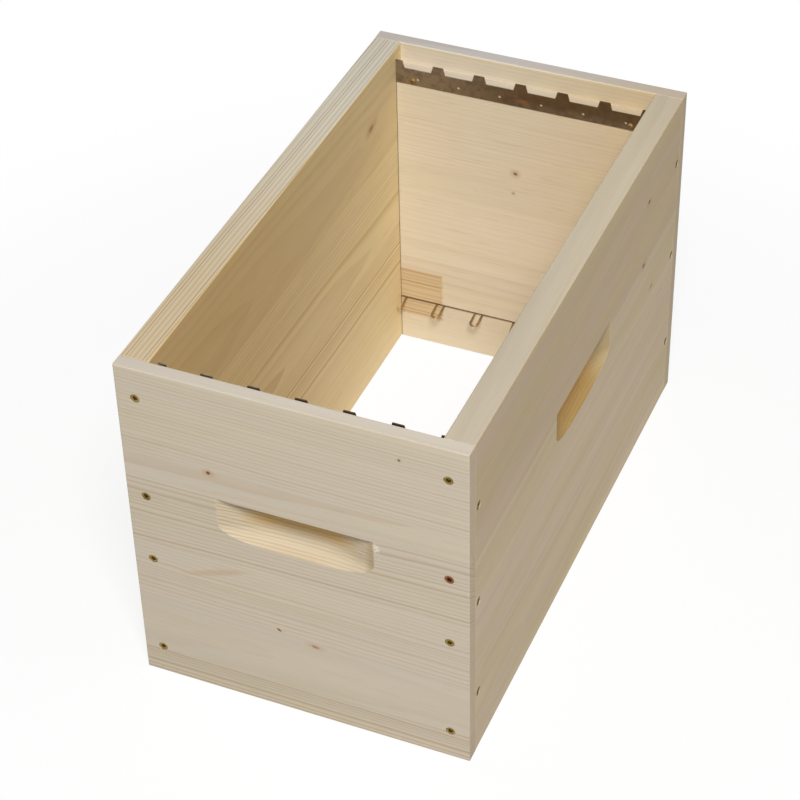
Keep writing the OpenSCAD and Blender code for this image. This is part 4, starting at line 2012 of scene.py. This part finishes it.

# The boards' woods differ partly as real boards do and partly as painted light: the rear and left
# boards' early and late colours are lighter and more golden for the lit, warm inside of the box, the
# front board's are a little darker as painted shade, and the left board's top stave is darker as painted
# shade on the upper inside wall.
WOODS: dict[str, WoodFinish] = {
    "front_board": WoodFinish(
        name="front_spruce",
        heading=0,
        middle=-BOARD_MIDDLE,
        outward=-1,
        staves=(
            Stave(0.083, 0.03, -0.10, 0.80, 0.46),
            Stave(0.24, 0.10, 0.05, 0.10, 0.50),
            Stave(0.45, 0.05, 0.0, 0.40, 0.50),
            Stave(0.66, 0.073, 0.281, 0.60, 0.48),
            Stave(0.74, 0.06, 0.24, 0.28, 0.50),
            Stave(1.0, 0.05, 0.10, 0.40, 0.52),
        ),
        knots=(
            Knot(-68.3 * MM, 231.2 * MM, 1.7 * MM, 1.1, 0.0, 0.9, 0.5),
            Knot(86.5 * MM, 293 * MM, 1.3 * MM, 1.0, 0.0, 0.8, 0.15),
            Knot(-18.3 * MM, 85.6 * MM, 1.3 * MM, 1.5, -0.5, 0.95, 0.15),
            Knot(12.1 * MM, 77.9 * MM, 1.4 * MM, 2.6, -0.1, 0.5, 0.4),
            Knot(-69 * MM, 128.6 * MM, 1.5 * MM, 7.5, 0.35, 0.0, 0.36),
        ),
        torn=Knot(66 * MM, 200.5 * MM, 5.0 * MM, 0.7),
        lapped=True,
        ring_width=3.6 * MM,
        early=paint(206, 194, 174),
        late=paint(172, 145, 109),
        edge=paint(203, 193, 178),
    ),
    "rear_board": WoodFinish(
        name="rear_spruce",
        heading=0,
        middle=BOARD_MIDDLE,
        outward=1,
        staves=(
            Stave(0.30, 0.10, 0.02, 0.22, 0.44),
            Stave(0.62, -0.05, 0.10, 0.13, 0.50),
            Stave(1.0, 0.04, 0.12, 0.21, 0.52),
        ),
        knots=(
            Knot(-3.9 * MM, 211.1 * MM, 1.8 * MM, 1.2, 0.0, 0.72),
            Knot(-5.5 * MM, 190 * MM, 0.9 * MM, 1.0, 0.0, 0.5),
        ),
        lamella=Lamella(-118 * MM, -74 * MM, 28 * MM, 80 * MM, -0.02, -0.20, 0.9),
        lapped=True,
        ring_width=4.0 * MM,
        early=paint(235, 220, 191),
        late=paint(203, 170, 124),
        edge=paint(210, 202, 192),
        painted_light_from=(0.985, 1.0, 1.05, 1.0),
        painted_light_to=(0.91, 0.835, 0.72, 1.0),
        painted_light_span=(-50 * MM, 150 * MM),
    ),
    "left_board": WoodFinish(
        name="left_spruce",
        heading=-90,
        middle=SIDE_MIDDLE,
        outward=1,
        staves=(
            Stave(0.27, -0.06, -0.05, 0.40, 0.53),
            Stave(0.41, -0.09, 0.02, 0.95, 0.52),
            Stave(0.70, -0.07, 0.145, 0.50, 0.51),
            Stave(1.0, -0.16, 0.25, 0.28, 0.415),
        ),
        knots=(Knot(170 * MM, 266.5 * MM, 2.6 * MM, 2.0, 0.2, 0.5, 0.4),),
        ring_width=3.2 * MM,
        early=paint(240, 215, 162),
        late=paint(202, 160, 100),
        edge=paint(218, 206, 180),
        edge_late=paint(176, 152, 120),
        edge_figure=1.0,
        painted_light_from=(0.94, 0.87, 0.77, 1.0),
        painted_light_to=(1.04, 1.10, 1.22, 1.0),
    ),
    "right_board": WoodFinish(
        name="right_spruce",
        heading=-90,
        middle=-SIDE_MIDDLE,
        outward=-1,
        staves=(
            Stave(0.30, 0.06, 0.05, 0.16, 0.50),
            Stave(0.64, 0.08, 0.02, 0.18, 0.50),
            Stave(1.0, 0.05, 0.12, 0.18, 0.41),
        ),
        knots=(
            Knot(156 * MM, 263.4 * MM, 2.0 * MM, 1.4, 0.0, 1.0),
            Knot(149.5 * MM, 202.3 * MM, 2.1 * MM, 1.4, 0.0, 1.0),
            Knot(175 * MM, 163 * MM, 1.6 * MM, 1.8, 0.0, 0.45, 0.3),
        ),
        ring_width=4.4 * MM,
        streaks=0.34,
        mottle=0.65,
        # Painted light in the right handhold: darker, more orange fresh and scraped colours shade its
        # lit lower rim, the under shading lightens its deep part and the end shading pales its far end
        # towards the face's colour.
        fresh=paint(174, 144, 90),
        scraped=paint(158, 126, 76),
        cut_under_shading=(1.7, 1.55, 1.4, 1.0),
        cut_under=(38 * MM, 31 * MM),
        cut_end_shading=(1.2, 1.36, 1.95, 1.0),
        cut_end_span=(44 * MM, 6 * MM),
        early=paint(211, 192, 162),
        late=paint(178, 145, 100),
        edge=paint(203, 190, 168),
        painted_light_from=(0.955, 0.955, 0.95, 1.0),
        painted_light_to=(1.05, 1.05, 1.02, 1.0),
    ),
}

RAIL_SHEET = MetalFinish(
    name="rolled_sheet",
    colour=paint(116, 92, 62),
    stain=paint(94, 71, 48),
    speck=paint(158, 92, 46),
    rough=0.40,
    stained=0.5,
    specked=0.12,
    along=30,
    bare=0.85,
    # Painted reflection on the rail, paler at its left end and its foot.
    pale=paint(168, 154, 134),
    spots=(
        (2.5 * MM, 225 * MM, 287.6 * MM, 0.6),
        (47 * MM, 225 * MM, 286.6 * MM, 0.25),
        (-50 * MM, 225 * MM, 287 * MM, 0.2),
    ),
)
SPACER_WIRE = MetalFinish(
    name="drawn_wire",
    colour=paint(176, 150, 106),
    stain=paint(128, 102, 68),
    speck=paint(96, 62, 40),
    rough=0.36,
    stained=0.6,
    specked=0.2,
)
PLATED = MetalFinish(
    name="yellow_zinc",
    colour=paint(158, 134, 77),
    stain=paint(95, 78, 43),
    speck=paint(60, 44, 22),
    rough=0.34,
    stained=0.7,
    specked=0.25,
)
BRONZED = MetalFinish(
    name="bronzed_zinc",
    colour=paint(146, 116, 66),
    stain=paint(104, 80, 44),
    speck=paint(70, 50, 27),
    rough=0.62,
    stained=0.8,
    specked=0.3,
    bare=0.55,
)
# Darker plating for the side-board screws: painted shade in their sunk heads.
SIDE_SHADE_ZINC = MetalFinish(
    name="worn_zinc",
    colour=paint(113, 97, 58),
    stain=paint(64, 53, 33),
    speck=paint(44, 32, 18),
    rough=0.5,
    stained=0.8,
    specked=0.3,
)
COPPERY = MetalFinish(
    name="coppery_zinc",
    colour=paint(144, 96, 62),
    stain=paint(94, 57, 38),
    speck=paint(56, 34, 23),
    rough=0.34,
    stained=0.7,
    specked=0.2,
)
# Painted shade: dark metal for the screws' recesses.
RECESS_SHADE = MetalFinish(
    name="recess_metal",
    colour=paint(46, 36, 22),
    stain=paint(28, 21, 13),
    speck=paint(18, 13, 8),
    rough=0.55,
    stained=0.8,
    specked=0.4,
    bare=0.4,
)


def main() -> None:
    """Build and dress the sub-assemblies in order, then the studio."""
    logging.basicConfig(level=logging.INFO, format="%(name)s %(message)s")
    sizes = BodySizes()
    places = ScrewPlaces(sizes)
    corner = CornerScrew()
    rail_screw = RailScrew()
    groups = GrainGroups()

    boards = Boards(sizes, HandCut(), corner, rail_screw, places)
    boards.build()
    boards.dress(groups, WOODS)
    rails = FrameRails(sizes, places, rail_screw)
    rails.build()
    rails.dress(groups, RAIL_SHEET)
    wires = WireSpacers(sizes)
    wires.build()
    wires.dress(groups, SPACER_WIRE)
    screws = Screws(places, corner, rail_screw)
    screws.build()
    screws.dress(groups, {Slot.CORNER_SCREW: PLATED, Slot.RAIL_SCREW: BRONZED}, SIDE_SHADE_ZINC, COPPERY, RECESS_SHADE)
    Studio().build()


if __name__ == "__main__":
    main()
